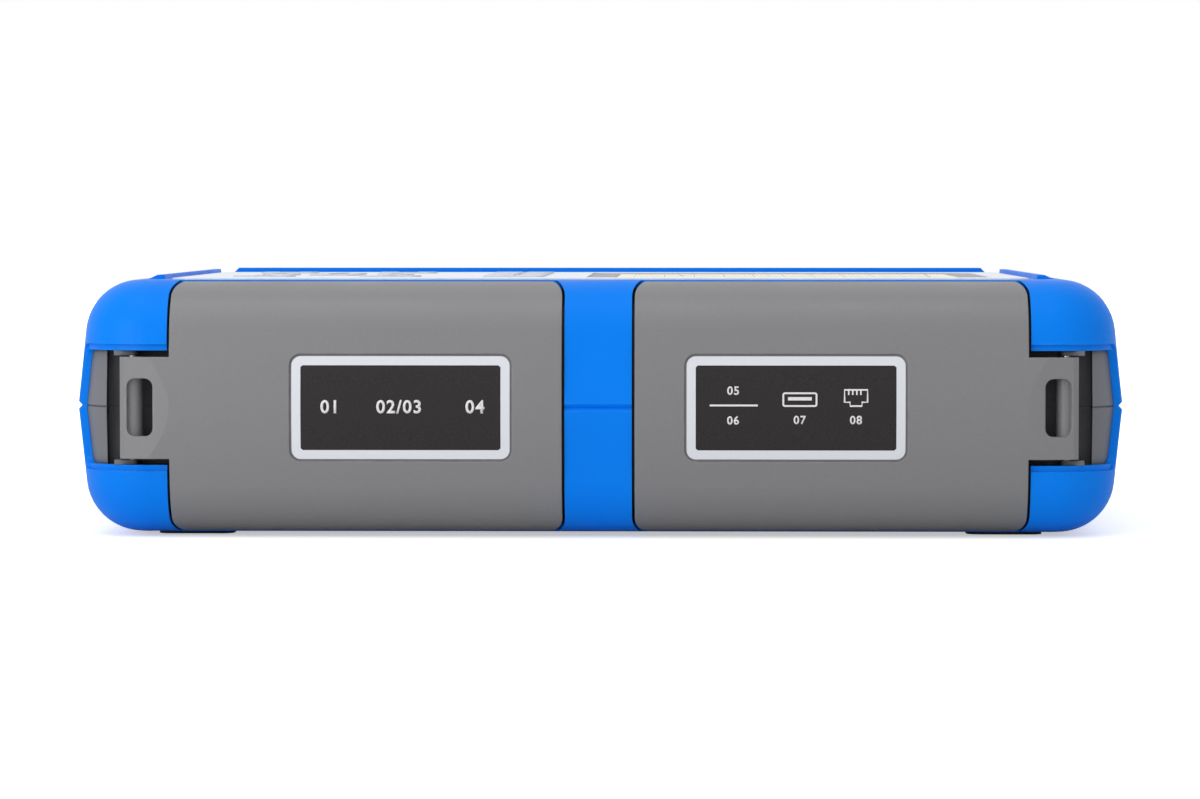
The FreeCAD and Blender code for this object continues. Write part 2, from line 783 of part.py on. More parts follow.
def case_screw_hole(name, x, y):
    """The bore for a case screw and the well for its head."""
    bore = rod(name + "_bore", "case_screw_radius",
               ("rear_z - 2 * overcut", case_screw_top), (x, y))
    well = rod(name + "_well", "case_screw_head + fit_gap",
               ("rear_z - 2 * overcut", "housing_rear_z"), (x, y))
    return fuse(name, bore, well)


def rear_boss(name, x, y):
    """A screw tube from the rear wall to the seam."""
    return rod(name, "case_boss_radius", ("floor_z - overcut", "seam_z"), (x, y))


def front_boss(name, x, y):
    """A screw boss from the seam to the front wall."""
    return rod(name, "case_boss_radius", ("seam_z", "ceiling_z + overcut"), (x, y))


def standoff(name, x, y):
    """A post under the main board."""
    return rod(name, "standoff_radius", ("floor_z - overcut", "board_low_z"), (x, y))


case_screws = corners("case_screw", "case_screw_x", "case_screw_y", case_screw)
case_holes = fuse("case_holes", *corners("case_hole", "case_screw_x", "case_screw_y", case_screw_hole))
rear_bosses = corners("rear_boss", "case_screw_x", "case_screw_y", rear_boss)
front_bosses = corners("front_boss", "case_screw_x", "case_screw_y", front_boss)
standoffs = corners("standoff", "standoff_x", "standoff_y", standoff)

# ------------------------------------------------------------ front openings
fascia_x = about("0", "fascia_width")
fascia_y = ("fascia_near_y", "fascia_far_y")
fascia_seat = slab("fascia_seat", grown(fascia_x, "fit_gap"), grown(fascia_y, "fit_gap"),
                   ("housing_front_z", "front_z + far_cut"), "fascia_corner")
glass_x = ("glass_low_x", "glass_high_x")
glass_y = about("fascia_mid_y", "glass_depth")
lcd_x = grown(glass_x, "-lcd_margin")
lcd_y = grown(glass_y, "-lcd_margin")
lcd_opening = box("lcd_opening", grown(lcd_x, "fit_gap"), grown(lcd_y, "fit_gap"),
                  ("ceiling_z - far_cut", "housing_front_z + overcut"))
pad_x = ("pad_low_x", "pad_high_x")
pad_y = ("pad_near_y", "pad_far_y")
pad_opening = slab("pad_opening", pad_x, pad_y, ("ceiling_z - far_cut", "housing_front_z + overcut"),
                   "key_corner")

# --------------------------------------------------------------- half shells
case_tools = [door_cut, seal_groove, both("hinge_pockets", hinge_pocket)]
bay_trays = both("bay_trays", bay_tray)
hinge_blocks = both("hinge_blocks", hinge_block)
ears = both("ears", fuse("ears_right", upper_ear, lower_ear))
pin_bores = both("pin_bores", pin_bore)
end_packing = fuse("end_packing", end_wall_pack, bay_trays, hinge_blocks)

front_hollow = cut("front_hollow", front_inner, end_packing)
front_blank = cut("front_blank", front_skin_line, front_hollow, *case_tools)
front_ribbed = fuse("front_ribbed", front_blank, ears, *front_bosses)
front_limit = box("front_limit", wide_x, grown(("end_y", "far_y"), "far_cut"),
                  ("seam_z", "front_z + 2 * far_cut"))
front_half = common("front_half", front_ribbed, front_limit)
front_housing = cut("front_housing_solid", front_half, bay_hollow, lcd_opening, pad_opening,
                    pin_bores, case_holes)
piece("front_housing", front_housing)

rear_packing = fuse("rear_packing", end_packing, well_block, stand_block)
rear_hollow = cut("rear_hollow", rear_inner, rear_packing)
rear_blank = cut("rear_blank", rear_skin_line, rear_hollow, *case_tools)
rear_ribbed = fuse("rear_ribbed", rear_blank, ears, *rear_bosses, *standoffs)
rear_limit = box("rear_limit", wide_x, grown(("end_y", "far_y"), "far_cut"), ("rear_z", "seam_z"))
rear_half = common("rear_half", rear_ribbed, rear_limit)


def grille_slot(index):
    """One slot of the speaker grille."""
    y = f"speaker_y + {index} * grille_pitch"
    return slab(f"grille_slot_{index + 2}", about("speaker_x", "grille_length"),
                about(y, "grille_slot"), ("rear_z", "floor_z + overcut"), "grille_slot / 3")


grille = fuse("grille", *[grille_slot(index) for index in range(-2, 3)])


def cover_screw_spot(name, x, y):
    """The bore for one cover screw."""
    return rod(name, "screw_radius", ("rear_z", "cover_low_z + screw_length"), (x, y))


cover_screw_at = ("battery_width / 2 + battery_gap + cover_screw_inset", "battery_depth / 4")


def cover_screws_at(name, make):
    """Four like shapes at the battery cover's screws."""
    shapes = []
    for index, (right, far) in enumerate([(1, 1), (1, -1), (-1, 1), (-1, -1)]):
        x = f"{right} * ({cover_screw_at[0]})"
        y = f"battery_y + {far} * ({cover_screw_at[1]})"
        shapes.append(make(f"{name}_{index + 1}", x, y))
    return shapes


cover_bores = fuse("cover_bores", *cover_screws_at("cover_bore", cover_screw_spot))
rear_housing = cut("rear_housing_solid", rear_half, bay_hollow, pin_bores, case_holes,
                   battery_well, cover_seat, cover_bores, stand_recess, finger_cut,
                   stand_pin_bores, grille)
piece("rear_housing", rear_housing)

gasket_outer = slab("gasket_outer", about("0", "body_width - 2 * skin - 2 * shell_wall - 2 * fit_gap"),
                    about("mid_y", "body_depth - 2 * skin - 2 * shell_wall - 2 * fit_gap"),
                    ("seam_z - gasket_width", "seam_z + gasket_width"),
                    "plan_corner - skin - shell_wall - fit_gap")
gasket_inner = slab("gasket_inner",
                    about("0", "body_width - 2 * skin - 2 * shell_wall - 2 * gasket_width - 2 * fit_gap"),
                    about("mid_y", "body_depth - 2 * skin - 2 * shell_wall - 2 * gasket_width - 2 * fit_gap"),
                    ("seam_z - 2 * gasket_width", "seam_z + 2 * gasket_width"),
                    "plan_corner - skin - shell_wall - gasket_width - fit_gap")
gasket_end = box("gasket_end", wide_x, ("end_y - far_cut", "tray_back_y + fit_gap"),
                 ("seam_z - far_cut", "seam_z + far_cut"))
gasket_bosses = fuse("gasket_bosses", *[
    rod(f"gasket_boss_{index + 1}", "case_boss_radius + fit_gap", ("seam_z - far_cut", "seam_z + far_cut"),
        (f"{right} * case_screw_x", f"{far} * case_screw_y"))
    for index, (right, far) in enumerate([(1, 1), (1, -1), (-1, 1), (-1, -1)])
])
seam_gasket = cut("seam_gasket_solid", cut("gasket_ring", gasket_outer, gasket_inner),
                  gasket_end, gasket_bosses)
piece("seam_gasket", seam_gasket)


# ----------------------------------------------------------------- overmould
def rail(name):
    """A raised side rail that runs down into the side's round."""
    points = [
        ("rail_inner", "-skin / 2"),
        ("rail_inner + rail_height / 4", "rail_height"),
        ("rail_inner + rail_crest", "rail_height"),
        ("rail_inner + rail_crest + rail_blend", "rail_height - rail_fall"),
        ("rail_inner + rail_crest + rail_blend", "-rail_fall - skin / 2"),
    ]
    body = profile(name, points, "body_depth - rail_near_gap - rail_far_gap")
    turn = FreeCAD.Rotation(FreeCAD.Vector(1, 0, 0), 90)
    return place(body, "0", "far_y - rail_far_gap", "front_z", turn=turn)


bar_half = "fascia_width / 2 - bar_inset"
bar_points = [
    (f"-({bar_half}) - bar_height", "-skin / 2"),
    (f"-({bar_half}) - bar_height", "0"),
    (f"-({bar_half})", "bar_height"),
    (bar_half, "bar_height"),
    (f"{bar_half} + bar_height", "0"),
    (f"{bar_half} + bar_height", "-skin / 2"),
]
far_bar = place(profile("far_bar", bar_points, "bar_depth"), "0", "far_y - bar_setback", "front_z",
                turn=FreeCAD.Rotation(FreeCAD.Vector(1, 0, 0), 90))
skin_windows = both("skin_windows", skin_window)
rim_band = both("rim_band", slab("rim_band_right", ("pocket_in_x", "side_x + 2 * far_cut"),
                                 ("end_y - 2 * far_cut", "end_y + window_back"),
                                 grown(notch_z, "rim_width"), "slot_corner", facing="x"))
front_rim = cut("front_rim", rim_band, front_rim_line)
rear_rim = cut("rear_rim", rim_band, rear_rim_line)
door_zones = both("door_gaps", door_zone)
front_raised = fuse("front_raised", front_outer, both("rails", rail("rail_right")), far_bar)
front_bumper = cut("front_bumper_solid", front_raised, front_skin_line, front_housing, door_zones,
                   skin_windows, front_rim, fascia_seat)
piece("front_bumper", front_bumper)
rear_bumper = cut("rear_bumper_solid", rear_outer, rear_skin_line, rear_housing, door_zones,
                  skin_windows, rear_rim, rear_window, case_holes)
piece("rear_bumper", rear_bumper)

# --------------------------------------------------------------------- doors
door_outline = slab("door_outline", door_x, ("end_y - 4 * far_cut", "door_back_y"), door_z, "door_corner",
                    facing="y")
door_outer = end_barrel("door_outer", wide_x, "0")
door_inner = end_barrel("door_inner", grown(wide_x, "far_cut"), "door_wall")
door_shell = common("door_shell", cut("door_skin", door_outer, door_inner), door_outline)

tongue_front = "hinge_setback + door_proud"
tongue_points = [
    ("-barrel_radius - tongue_brow", "0"),
    ("-barrel_radius - tongue_brow", "barrel_radius"),
    ("tongue_round - barrel_radius - tongue_brow", "barrel_radius + tongue_round"),
    ("tongue_bend", "hinge_setback"),
    ("tongue_reach", tongue_front),
    ("tongue_reach + tongue_overlap", tongue_front),
    ("tongue_reach + tongue_overlap", f"{tongue_front} - tongue_wall"),
    ("tongue_bend", "hinge_setback - tongue_wall"),
    ("barrel_radius", "0"),
]
tongue_blank = place(profile("tongue_blank", tongue_points, "tongue_height"),
                     "hinge_x", "hinge_y", "tongue_low_z",
                     turn=FreeCAD.Rotation(FreeCAD.Vector(0, 0, 1), 180))
tongue_slot = slab("tongue_slot", ("hinge_x - slot_reach", "hinge_x + slot_over"),
                   ("end_y - far_cut", "pocket_back_y"), about("seam_z", "slot_height"),
                   "slot_corner", facing="y")
barrel = rod("barrel", "barrel_radius", ("tongue_low_z", "tongue_high_z"), hinge_spot)
barrel_bore = rod("barrel_bore", "pin_radius + pin_fit", grown(("tongue_low_z", "tongue_high_z"), "overcut"),
                  hinge_spot)
tongue_plate = cut("tongue_plate", common("tongue_flush", tongue_blank, door_outer), tongue_slot)
tongue = fuse("tongue", tongue_plate, barrel)
door_blank = fuse("door_blank", door_shell, tongue)

label_prism = slab("label_prism", about("label_x", "label_width"), ("end_y - far_cut", "end_y + far_cut"),
                   about("seam_z", "label_height"), "label_corner", facing="y")
label_floor = end_barrel("label_floor", wide_x, "label_sink + label_thick")
label_face = end_barrel("label_face", wide_x, "label_sink")
label_seat = slab("label_seat", about("label_x", "label_width + 2 * label_rim"),
                  ("end_y - far_cut", "end_y + far_cut"), about("seam_z", "label_height + 2 * label_rim"),
                  "label_corner + label_rim", facing="y")
label_pocket = cut("label_pocket", label_seat, label_floor)
data_door = cut("data_door_solid", door_blank, label_pocket, barrel_bore)
label = cut("label", common("label_blank", label_prism, label_face), label_floor)
pin = rod("pin", "pin_radius", grown(notch_z, "pin_grip"), hinge_spot)
seal = common("seal", seal_ring, cut("seal_curve", end_barrel("seal_crest", wide_x, "door_wall + seal_clear"),
                                     seal_floor))

piece("data_port_door", data_door)
piece("fibre_port_door", mirror("fibre_door_solid", data_door))
piece("data_door_label", label)
piece("fibre_door_label", mirror("fibre_label_solid", label))
piece("data_door_pin", pin)
piece("fibre_door_pin", mirror("fibre_pin_solid", pin))
piece("data_bay_seal", seal)
piece("fibre_bay_seal", mirror("fibre_seal_solid", seal))

# --------------------------------------------------------------- fibre ports
port_z = "seam_z"
plate_holder = slab("plate_blank", grown(bay_x, "plate_lip - plate_gap"), ("plate_y", "plate_back_y"),
                    grown(bay_z, "plate_lip - plate_gap"), "bay_corner - plate_gap", facing="y")
fibre_plate_blank = mirror("fibre_plate_blank", plate_holder)
fibre_port_xs = {
    "fault_locator": "-port_mid_x - port_pitch",
    "trace": "-port_mid_x",
    "power_meter": "-port_mid_x + port_pitch",
}
spigot_y = ("plate_y - flange_thick", "plate_back_y + spigot_length")
spigot_holes = [
    rod(f"{port}_hole", "spigot_radius + port_gap", ("plate_y - overcut", "plate_back_y + overcut"),
        (x, port_z), axis="y")
    for port, x in fibre_port_xs.items()
]
piece("fibre_port_plate", cut("fibre_plate_solid", fibre_plate_blank, *spigot_holes))


def adapter(name, x, barrel_radius, barrel_length, key=False):
    """A bulkhead adapter: square flange, round barrel, sleeve and rear spigot."""
    centre = (x, port_z)
    face = f"plate_y - flange_thick - ({barrel_length})"
    flange = slab(name + "_flange", about(x, "flange_side"), ("plate_y - flange_thick", "plate_y"),
                  about(port_z, "flange_side"), "flange_corner", facing="y")
    collar = rod(name + "_collar", barrel_radius, (face, "plate_y - flange_thick / 2"), centre, axis="y")
    spigot = rod(name + "_spigot", "spigot_radius", spigot_y, centre, axis="y")
    mouth = rod(name + "_mouth", f"{barrel_radius} - port_wall",
                (f"{face} - overcut", f"{face} + port_bore_depth"), centre, axis="y")
    sleeve = rod(name + "_sleeve", "sleeve_radius",
                 (f"{face} + sleeve_sink", f"{face} + port_bore_depth + sleeve_root"), centre, axis="y")
    ferrule = rod(name + "_ferrule_bore", "ferrule_radius", (f"{face} - overcut", "plate_y"),
                  centre, axis="y")
    hollow = cut(name + "_hollow", fuse(name + "_outside", flange, collar, spigot), mouth)
    tools = [ferrule]
    if key:
        tools.append(box(name + "_keyway", about(x, "keyway_width"),
                         (f"{face} - overcut", f"{face} + keyway_depth"),
                         (port_z, f"{port_z} + 2 * ({barrel_radius})")))
    return cut(name + "_solid", fuse(name + "_body", hollow, sleeve), *tools)


piece("fault_locator_adapter", adapter("fault_locator_adapter", fibre_port_xs["fault_locator"],
                                       "port_barrel_radius", "port_barrel_length"))
piece("trace_adapter", adapter("trace_adapter", fibre_port_xs["trace"],
                               "port_barrel_radius", "port_barrel_length", key=True))
piece("power_meter_adapter", adapter("power_meter_adapter", fibre_port_xs["power_meter"],
                                     "meter_barrel_radius", "meter_barrel_length"))
piece("fault_locator_laser", rod("laser", "laser_radius",
                                 ("plate_back_y + spigot_length",
                                  "plate_back_y + spigot_length + laser_length"),
                                 (fibre_port_xs["fault_locator"], port_z), axis="y"))
piece("power_meter_detector", rod("detector", "detector_radius",
                                  ("plate_back_y + spigot_length",
                                   "plate_back_y + spigot_length + detector_length"),
                                  (fibre_port_xs["power_meter"], port_z), axis="y"))

# ---------------------------------------------------------------- data ports
port_face_y = "plate_y - port_proud"
jack_x = about("jack_x", "jack_width")
jack_z = ("board_top_z", "board_top_z + jack_height")
jack_y = (port_face_y, f"{port_face_y} + jack_length")
jack_mouth_z = about(middle(jack_z), "jack_mouth_height")
jack_mouth = box("jack_mouth", about("jack_x", "jack_mouth_width"),
                 (f"{port_face_y} - overcut", f"{port_face_y} + jack_mouth_depth"), jack_mouth_z)
jack_latch = box("jack_latch", about("jack_x", "jack_latch_width"),
                 (f"{port_face_y} - overcut", f"{port_face_y} + jack_mouth_depth"),
                 (f"{jack_mouth_z[0]} - jack_latch_height", jack_mouth_z[1]))
piece("network_jack", cut("jack_solid", box("jack_case", jack_x, jack_y, jack_z), jack_mouth, jack_latch))

usb_a_x = about("usb_a_x", "usb_a_width")
usb_a_z = ("board_top_z", "board_top_z + usb_a_height")
usb_a_y = (port_face_y, f"{port_face_y} + usb_a_length")
usb_a_mouth = box("usb_a_mouth", grown(usb_a_x, "-usb_wall"), (f"{port_face_y} - overcut",
                  f"{usb_a_y[1]} - usb_back_wall"), grown(usb_a_z, "-usb_wall"))
usb_a_roof = f"{usb_a_z[1]} - usb_wall - usb_a_tongue_gap"
usb_a_tongue = box("usb_a_tongue", about("usb_a_x", "usb_a_width - 2 * usb_a_tongue_side"),
                   (f"{port_face_y} + usb_tongue_sink", usb_a_y[1]),
                   (f"{usb_a_roof} - usb_a_tongue", usb_a_roof))
piece("usb_a_socket", fuse("usb_a_solid", cut("usb_a_shell", box("usb_a_case", usb_a_x, usb_a_y, usb_a_z),
                                              usb_a_mouth), usb_a_tongue))

card_x = about("card_x", "card_width")
card_z = ("board_top_z", "board_top_z + card_height")
card_y = (port_face_y, f"{port_face_y} + card_length")
card_slot = box("card_slot", about("card_x", "card_slot_width"),
                (f"{port_face_y} - overcut", f"{card_y[1]} - card_back_wall"),
                about(middle(card_z), "card_slot_height"))
piece("memory_card_slot", cut("card_solid", box("card_case", card_x, card_y, card_z), card_slot))

usb_c_x = about("card_x", "usb_c_width")
usb_c_z = ("board_top_z + usb_c_rise", "board_top_z + usb_c_rise + usb_c_height")
usb_c_y = (port_face_y, f"{port_face_y} + usb_c_length")
usb_c_case = slab("usb_c_case", usb_c_x, usb_c_y, usb_c_z, "usb_c_height / 2 - usb_c_flat", facing="y")
usb_c_mouth = slab("usb_c_mouth", grown(usb_c_x, "-usb_wall"), (f"{port_face_y} - overcut",
                   f"{usb_c_y[1]} - usb_back_wall"), grown(usb_c_z, "-usb_wall"),
                   "usb_c_height / 2 - usb_wall - usb_c_flat", facing="y")
usb_c_tongue = box("usb_c_tongue", about("card_x", "usb_c_width - 2 * usb_c_tongue_side"),
                   (f"{port_face_y} + usb_tongue_sink", usb_c_y[1]), about(middle(usb_c_z), "usb_c_tongue"))
piece("usb_c_socket", fuse("usb_c_solid", cut("usb_c_shell", usb_c_case, usb_c_mouth), usb_c_tongue))

riser_x = about("card_x", "riser_width")
riser_y = ("plate_back_y + port_gap", "plate_back_y + riser_length")
riser_z = (f"{usb_c_z[0]} - board_thick", usb_c_z[0])
riser_leg = box("riser_leg", riser_x, (f"{riser_y[1]} - riser_leg", riser_y[1]),
                ("board_top_z", riser_z[1]))
piece("usb_c_riser_board", fuse("riser_solid", box("riser_board", riser_x, riser_y, riser_z), riser_leg))

plate_cuts = ("plate_y - overcut", "plate_back_y + overcut")
data_plate = cut("data_plate_solid", plate_holder,
                 box("jack_hole", grown(jack_x, "port_gap"), plate_cuts, grown(jack_z, "port_gap")),
                 box("usb_a_hole", grown(usb_a_x, "port_gap"), plate_cuts, grown(usb_a_z, "port_gap")),
                 box("card_hole", grown(card_x, "port_gap"), plate_cuts, grown(card_z, "port_gap")),
                 slab("usb_c_hole", grown(usb_c_x, "port_gap"), plate_cuts, grown(usb_c_z, "port_gap"),
                      "usb_c_height / 2", facing="y"))
piece("data_port_plate", data_plate)

# ------------------------------------------------------------- boards inside
board_x = about("0", "board_width")
board_y = ("board_front_y", "far_y - board_far")
piece("main_board", box("main_board_solid", board_x, board_y, ("board_low_z", "board_top_z")))
module_x = about("module_x", "module_width")
module_y = about("module_y", "module_depth")
piece("optical_module", slab("module_case", module_x, module_y, ("board_top_z", "module_top_z"),
                             "cover_corner"))
spool_spot = ("module_x", "module_y")
spool_z = ("module_top_z", "module_top_z + spool_height")
spool_flange = rod("spool_flange", "spool_radius", spool_z, spool_spot)
spool_channel = cut(
    "spool_channel",
    rod("spool_channel_outer", "spool_radius + overcut", grown(spool_z, "-spool_rim"), spool_spot),
    rod("spool_channel_core", "spool_core", spool_z, spool_spot),
)
spool_eye = rod("spool_eye", "spool_core - spool_rim", grown(spool_z, "overcut"), spool_spot)
piece("fibre_spool", cut("spool_solid", spool_flange, spool_channel, spool_eye))
fibre_coil = cut(
    "fibre_coil_solid",
    rod("fibre_coil_outer", "spool_radius - spool_rim", grown(spool_z, "-spool_rim"), spool_spot),
    rod("fibre_coil_core", "spool_core", spool_z, spool_spot),
)
piece("fibre_coil", fibre_coil)

# ---------------------------------------------------------- display and keys
key_holes = []
keys = {}


def rounded_key(name, x, y, width, depth, corner):
    """A key with a lip that stays under the fascia."""
    top = slab(name + "_cap", about(x, width), about(y, depth), ("lip_low_z", "key_top_z"), corner)
    lip = slab(name + "_lip", grown(about(x, width), "key_lip"), grown(about(y, depth), "key_lip"),
               ("lip_low_z", "lip_top_z"), f"{corner} + key_lip")
    hole = slab(name + "_hole", grown(about(x, width), "key_gap"), grown(about(y, depth), "key_gap"),
                ("housing_front_z - overcut", "key_top_z"), f"{corner} + key_gap")
    keys[name] = fuse(name + "_solid", top, lip)
    key_holes.append(hole)


def round_key(name, x, y, radius):
    """A round key with a lip that stays under the fascia."""
    top = rod(name + "_cap", radius, ("lip_low_z", "key_top_z"), (x, y))
    lip = rod(name + "_lip", f"{radius} + key_lip", ("lip_low_z", "lip_top_z"), (x, y))
    hole = rod(name + "_hole", f"{radius} + key_gap", ("housing_front_z - overcut", "key_top_z"), (x, y))
    keys[name] = fuse(name + "_solid", top, lip)
    key_holes.append(hole)


for index in range(5):
    rounded_key(f"soft_key_{index + 1}", "soft_key_x",
                f"fascia_mid_y + {index - 2} * soft_key_pitch", "key_width", "key_depth", "key_corner")
round_key("ok_key", "pad_x", "fascia_mid_y", "ok_radius")
arrows = {"up_key": (0, -1), "down_key": (0, 1), "left_key": (1, 0), "right_key": (-1, 0)}
for name, (right, far) in arrows.items():
    across = "arrow_width" if right == 0 else "key_depth"
    along = "key_depth" if right == 0 else "arrow_width"
    rounded_key(name, f"pad_x + {right} * arrow_reach", f"fascia_mid_y + {far} * arrow_reach",
                across, along, "key_corner")
corner_keys = {"power_key": (-1, -1), "start_key": (1, -1), "menu_key": (1, 1), "escape_key": (-1, 1)}
for name, (right, far) in corner_keys.items():
    rounded_key(name, f"pad_x + {right} * corner_key_x", f"fascia_mid_y + {far} * corner_key_y",
                "key_width", "key_depth", "key_corner")
for name, part in keys.items():
    piece(name, part)

leds = []
led_holes = []
for index in range(3):
    spot = (f"pad_x + {index - 1} * led_pitch", "fascia_near_y + led_setback")
    leds.append(rod(f"led_{index + 1}", "led_radius", ("housing_front_z", "fascia_top_z"), spot))
    led_holes.append(rod(f"led_{index + 1}_hole", "led_radius + plate_gap",
                         ("housing_front_z - overcut", "fascia_top_z + overcut"), spot))
piece("status_lights", group("status_lights_group", leds))

fascia_blank = slab("fascia_blank", fascia_x, fascia_y, ("housing_front_z", "fascia_top_z"),
                    "fascia_corner")
glass_hole = slab("glass_hole", grown(glass_x, "glass_gap"), grown(glass_y, "glass_gap"),
                  ("housing_front_z - overcut", "fascia_top_z + overcut"), "glass_corner + glass_gap")
piece("front_fascia", cut("fascia_solid", fascia_blank, glass_hole, *key_holes, *led_holes))
piece("display_glass", slab("glass", glass_x, glass_y,
                            ("housing_front_z", "housing_front_z + glass_thick"), "glass_corner"))
piece("display_module", box("display_module_solid", lcd_x, lcd_y,
                            ("housing_front_z - fit_gap - lcd_thick", "housing_front_z - fit_gap")))
mat_sheet = slab("mat_sheet", grown(pad_x, "mat_rim"), grown(pad_y, "mat_rim"), ("mat_low_z", "ceiling_z"),
                 "key_corner + mat_rim")
mat_clearance = slab("mat_clearance", grown(pad_x, "-fit_gap"), grown(pad_y, "-fit_gap"),
                     ("mat_top_z", "front_z"), "key_corner - fit_gap")
piece("keypad_mat", cut("mat_solid", mat_sheet, mat_clearance))
piece("keypad_board", slab("keypad_board_solid", grown(pad_x, "mat_rim"), grown(pad_y, "mat_rim"),
                           ("mat_low_z - board_thick", "mat_low_z"), "key_corner + mat_rim"))

# ------------------------------------------------- battery, stand, feet, rest
battery_pack = slab("battery_solid", about("0", "battery_width"), about("battery_y", "battery_depth"),
                    ("cover_top_z", "cover_top_z + battery_height"), "cover_corner - battery_gap")
piece("battery_pack", battery_pack)


def cover_screw(name, x, y):
    """A small screw with its head sunk in the cover."""
    head_z = ("cover_low_z", "cover_low_z + screw_sink")
    shank = rod(name + "_shank", "screw_radius", ("cover_low_z", "cover_low_z + screw_length"), (x, y))
    return fuse(name, shank, rod(name + "_head", "screw_head", head_z, (x, y)))


def cover_counterbore(name, x, y):
    """The hole and head well for one cover screw."""
    bore = rod(name + "_bore", "screw_radius", ("rear_z", "cover_top_z + overcut"), (x, y))
    return fuse(name, bore, rod(name + "_well", "screw_head + plate_gap",
                                ("rear_z", "cover_low_z + screw_sink"), (x, y)))


cover_blank = slab("cover_blank", cover_x, cover_y, ("cover_low_z", "cover_top_z"), "cover_corner")
piece("battery_cover", cut("cover_solid", cover_blank,
                           *cover_screws_at("cover_counterbore", cover_counterbore)))
piece("battery_cover_screws", group("cover_screw_group", cover_screws_at("cover_screw", cover_screw)))

stand_plate = slab("stand_plate", stand_x, ("stand_hinge_y", "stand_far_y"),
                   ("stand_low_z", "stand_high_z"), "stand_corner")
stand_root = box("stand_root", stand_x, ("stand_hinge_y", "stand_hinge_y + stand_corner + overcut"),
                 ("stand_low_z", "stand_high_z"))
stand_knuckle = rod("stand_knuckle", "stand_barrel", stand_x, stand_pin_spot, axis="x")
stand_bores = both("stand_bores", rod("stand_bore", "stand_pin_radius + pin_fit", stand_pin_x,
                                      stand_pin_spot, axis="x"))
piece("kickstand", cut("stand_solid", fuse("stand_blank", stand_plate, stand_root, stand_knuckle),
                       stand_bores))
stand_pin = rod("stand_pin", "stand_pin_radius", stand_pin_x, stand_pin_spot, axis="x")
piece("kickstand_pins", group("stand_pin_group", [stand_pin, mirror("stand_pin_left", stand_pin)]))


def foot(name, x, y):
    """A rubber foot stuck to the rear of the overmould."""
    return slab(name, about(x, "foot_width"), about(y, "foot_depth"), ("0", "rear_z"), "foot_corner")


piece("rubber_feet", group("feet", corners("foot", "foot_x", "foot_y", foot)))
piece("case_screws", group("case_screw_group", case_screws))
piece("speaker", rod("speaker_solid", "speaker_radius", ("floor_z", "floor_z + speaker_thick"),
                     ("speaker_x", "speaker_y")))


# ----------------------------------------------------------- check and write
doc.recompute()
for thing in doc.Objects:
    if "Invalid" in thing.State or "Error" in thing.State:
        raise RuntimeError(f"{thing.Name} did not build: {thing.State}")
for node in NODES:
    shape = node.Shape
    if shape.isNull() or not shape.isValid() or not shape.Solids:
        raise RuntimeError(f"{node.Label} has no valid shape")
for node in NODES:
    node.Shape.exportStep(f"parts/{node.Label}.step")
    print(node.Label, len(node.Shape.Solids), round(node.Shape.Volume, 1))
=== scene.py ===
"""Looks of a field reflectometer: two grey half shells under a blue rubber overmould,
two textured port doors, printed labels, and a pale screen face with rubber keys.
Everything is in metres, in the CAD's own frame."""

import math

import bmesh
import bpy
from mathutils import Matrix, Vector


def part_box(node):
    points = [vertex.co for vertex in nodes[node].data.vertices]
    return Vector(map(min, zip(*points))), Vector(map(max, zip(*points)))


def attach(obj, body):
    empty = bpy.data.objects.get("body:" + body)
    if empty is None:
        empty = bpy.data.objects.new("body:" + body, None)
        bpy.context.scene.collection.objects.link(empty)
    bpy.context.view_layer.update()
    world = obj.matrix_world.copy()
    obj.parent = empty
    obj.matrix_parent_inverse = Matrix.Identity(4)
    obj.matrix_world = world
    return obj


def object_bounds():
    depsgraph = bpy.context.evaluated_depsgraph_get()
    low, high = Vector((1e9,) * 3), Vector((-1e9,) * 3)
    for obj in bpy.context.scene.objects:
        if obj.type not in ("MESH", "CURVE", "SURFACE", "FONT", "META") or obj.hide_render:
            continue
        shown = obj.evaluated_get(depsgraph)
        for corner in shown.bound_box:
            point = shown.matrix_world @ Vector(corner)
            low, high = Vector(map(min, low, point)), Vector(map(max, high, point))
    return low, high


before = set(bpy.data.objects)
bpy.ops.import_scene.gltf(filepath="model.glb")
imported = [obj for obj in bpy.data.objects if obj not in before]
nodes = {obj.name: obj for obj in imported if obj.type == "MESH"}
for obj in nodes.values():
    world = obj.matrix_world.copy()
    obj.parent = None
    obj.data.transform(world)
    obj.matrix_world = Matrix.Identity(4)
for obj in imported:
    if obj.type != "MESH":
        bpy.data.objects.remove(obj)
cad_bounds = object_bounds()
MM = 0.001
scene = bpy.context.scene

# A noise keeps to the middle of its range. These ends are stretched over what it drives.
NOISE_ENDS = (0.3, 0.7)
# How far a rounded normal leans from the real one, on a worn edge and on a flat.
EDGE_LEAN = (0.80, 0.995)
# How much open sky a point sees, in a crevice and in the open.
CREVICE_SKY = (0.35, 0.9)
# Rays that a bevel or crevice lookup may use.
LOOKUP_RAYS = 4
# The colour sockets of Blender's Mix node.
MIX_A, MIX_B, MIX_RESULT = 6, 7, 2


# ------------------------------------------------------------------ node helpers
def srgb(r, g, b):
    """An 0-255 display colour as the linear colour that a shader takes."""
    out = []
    for v in (r, g, b):
        c = v / 255.0
        out.append(c / 12.92 if c <= 0.04045 else ((c + 0.055) / 1.055) ** 2.4)
    return (*out, 1.0)


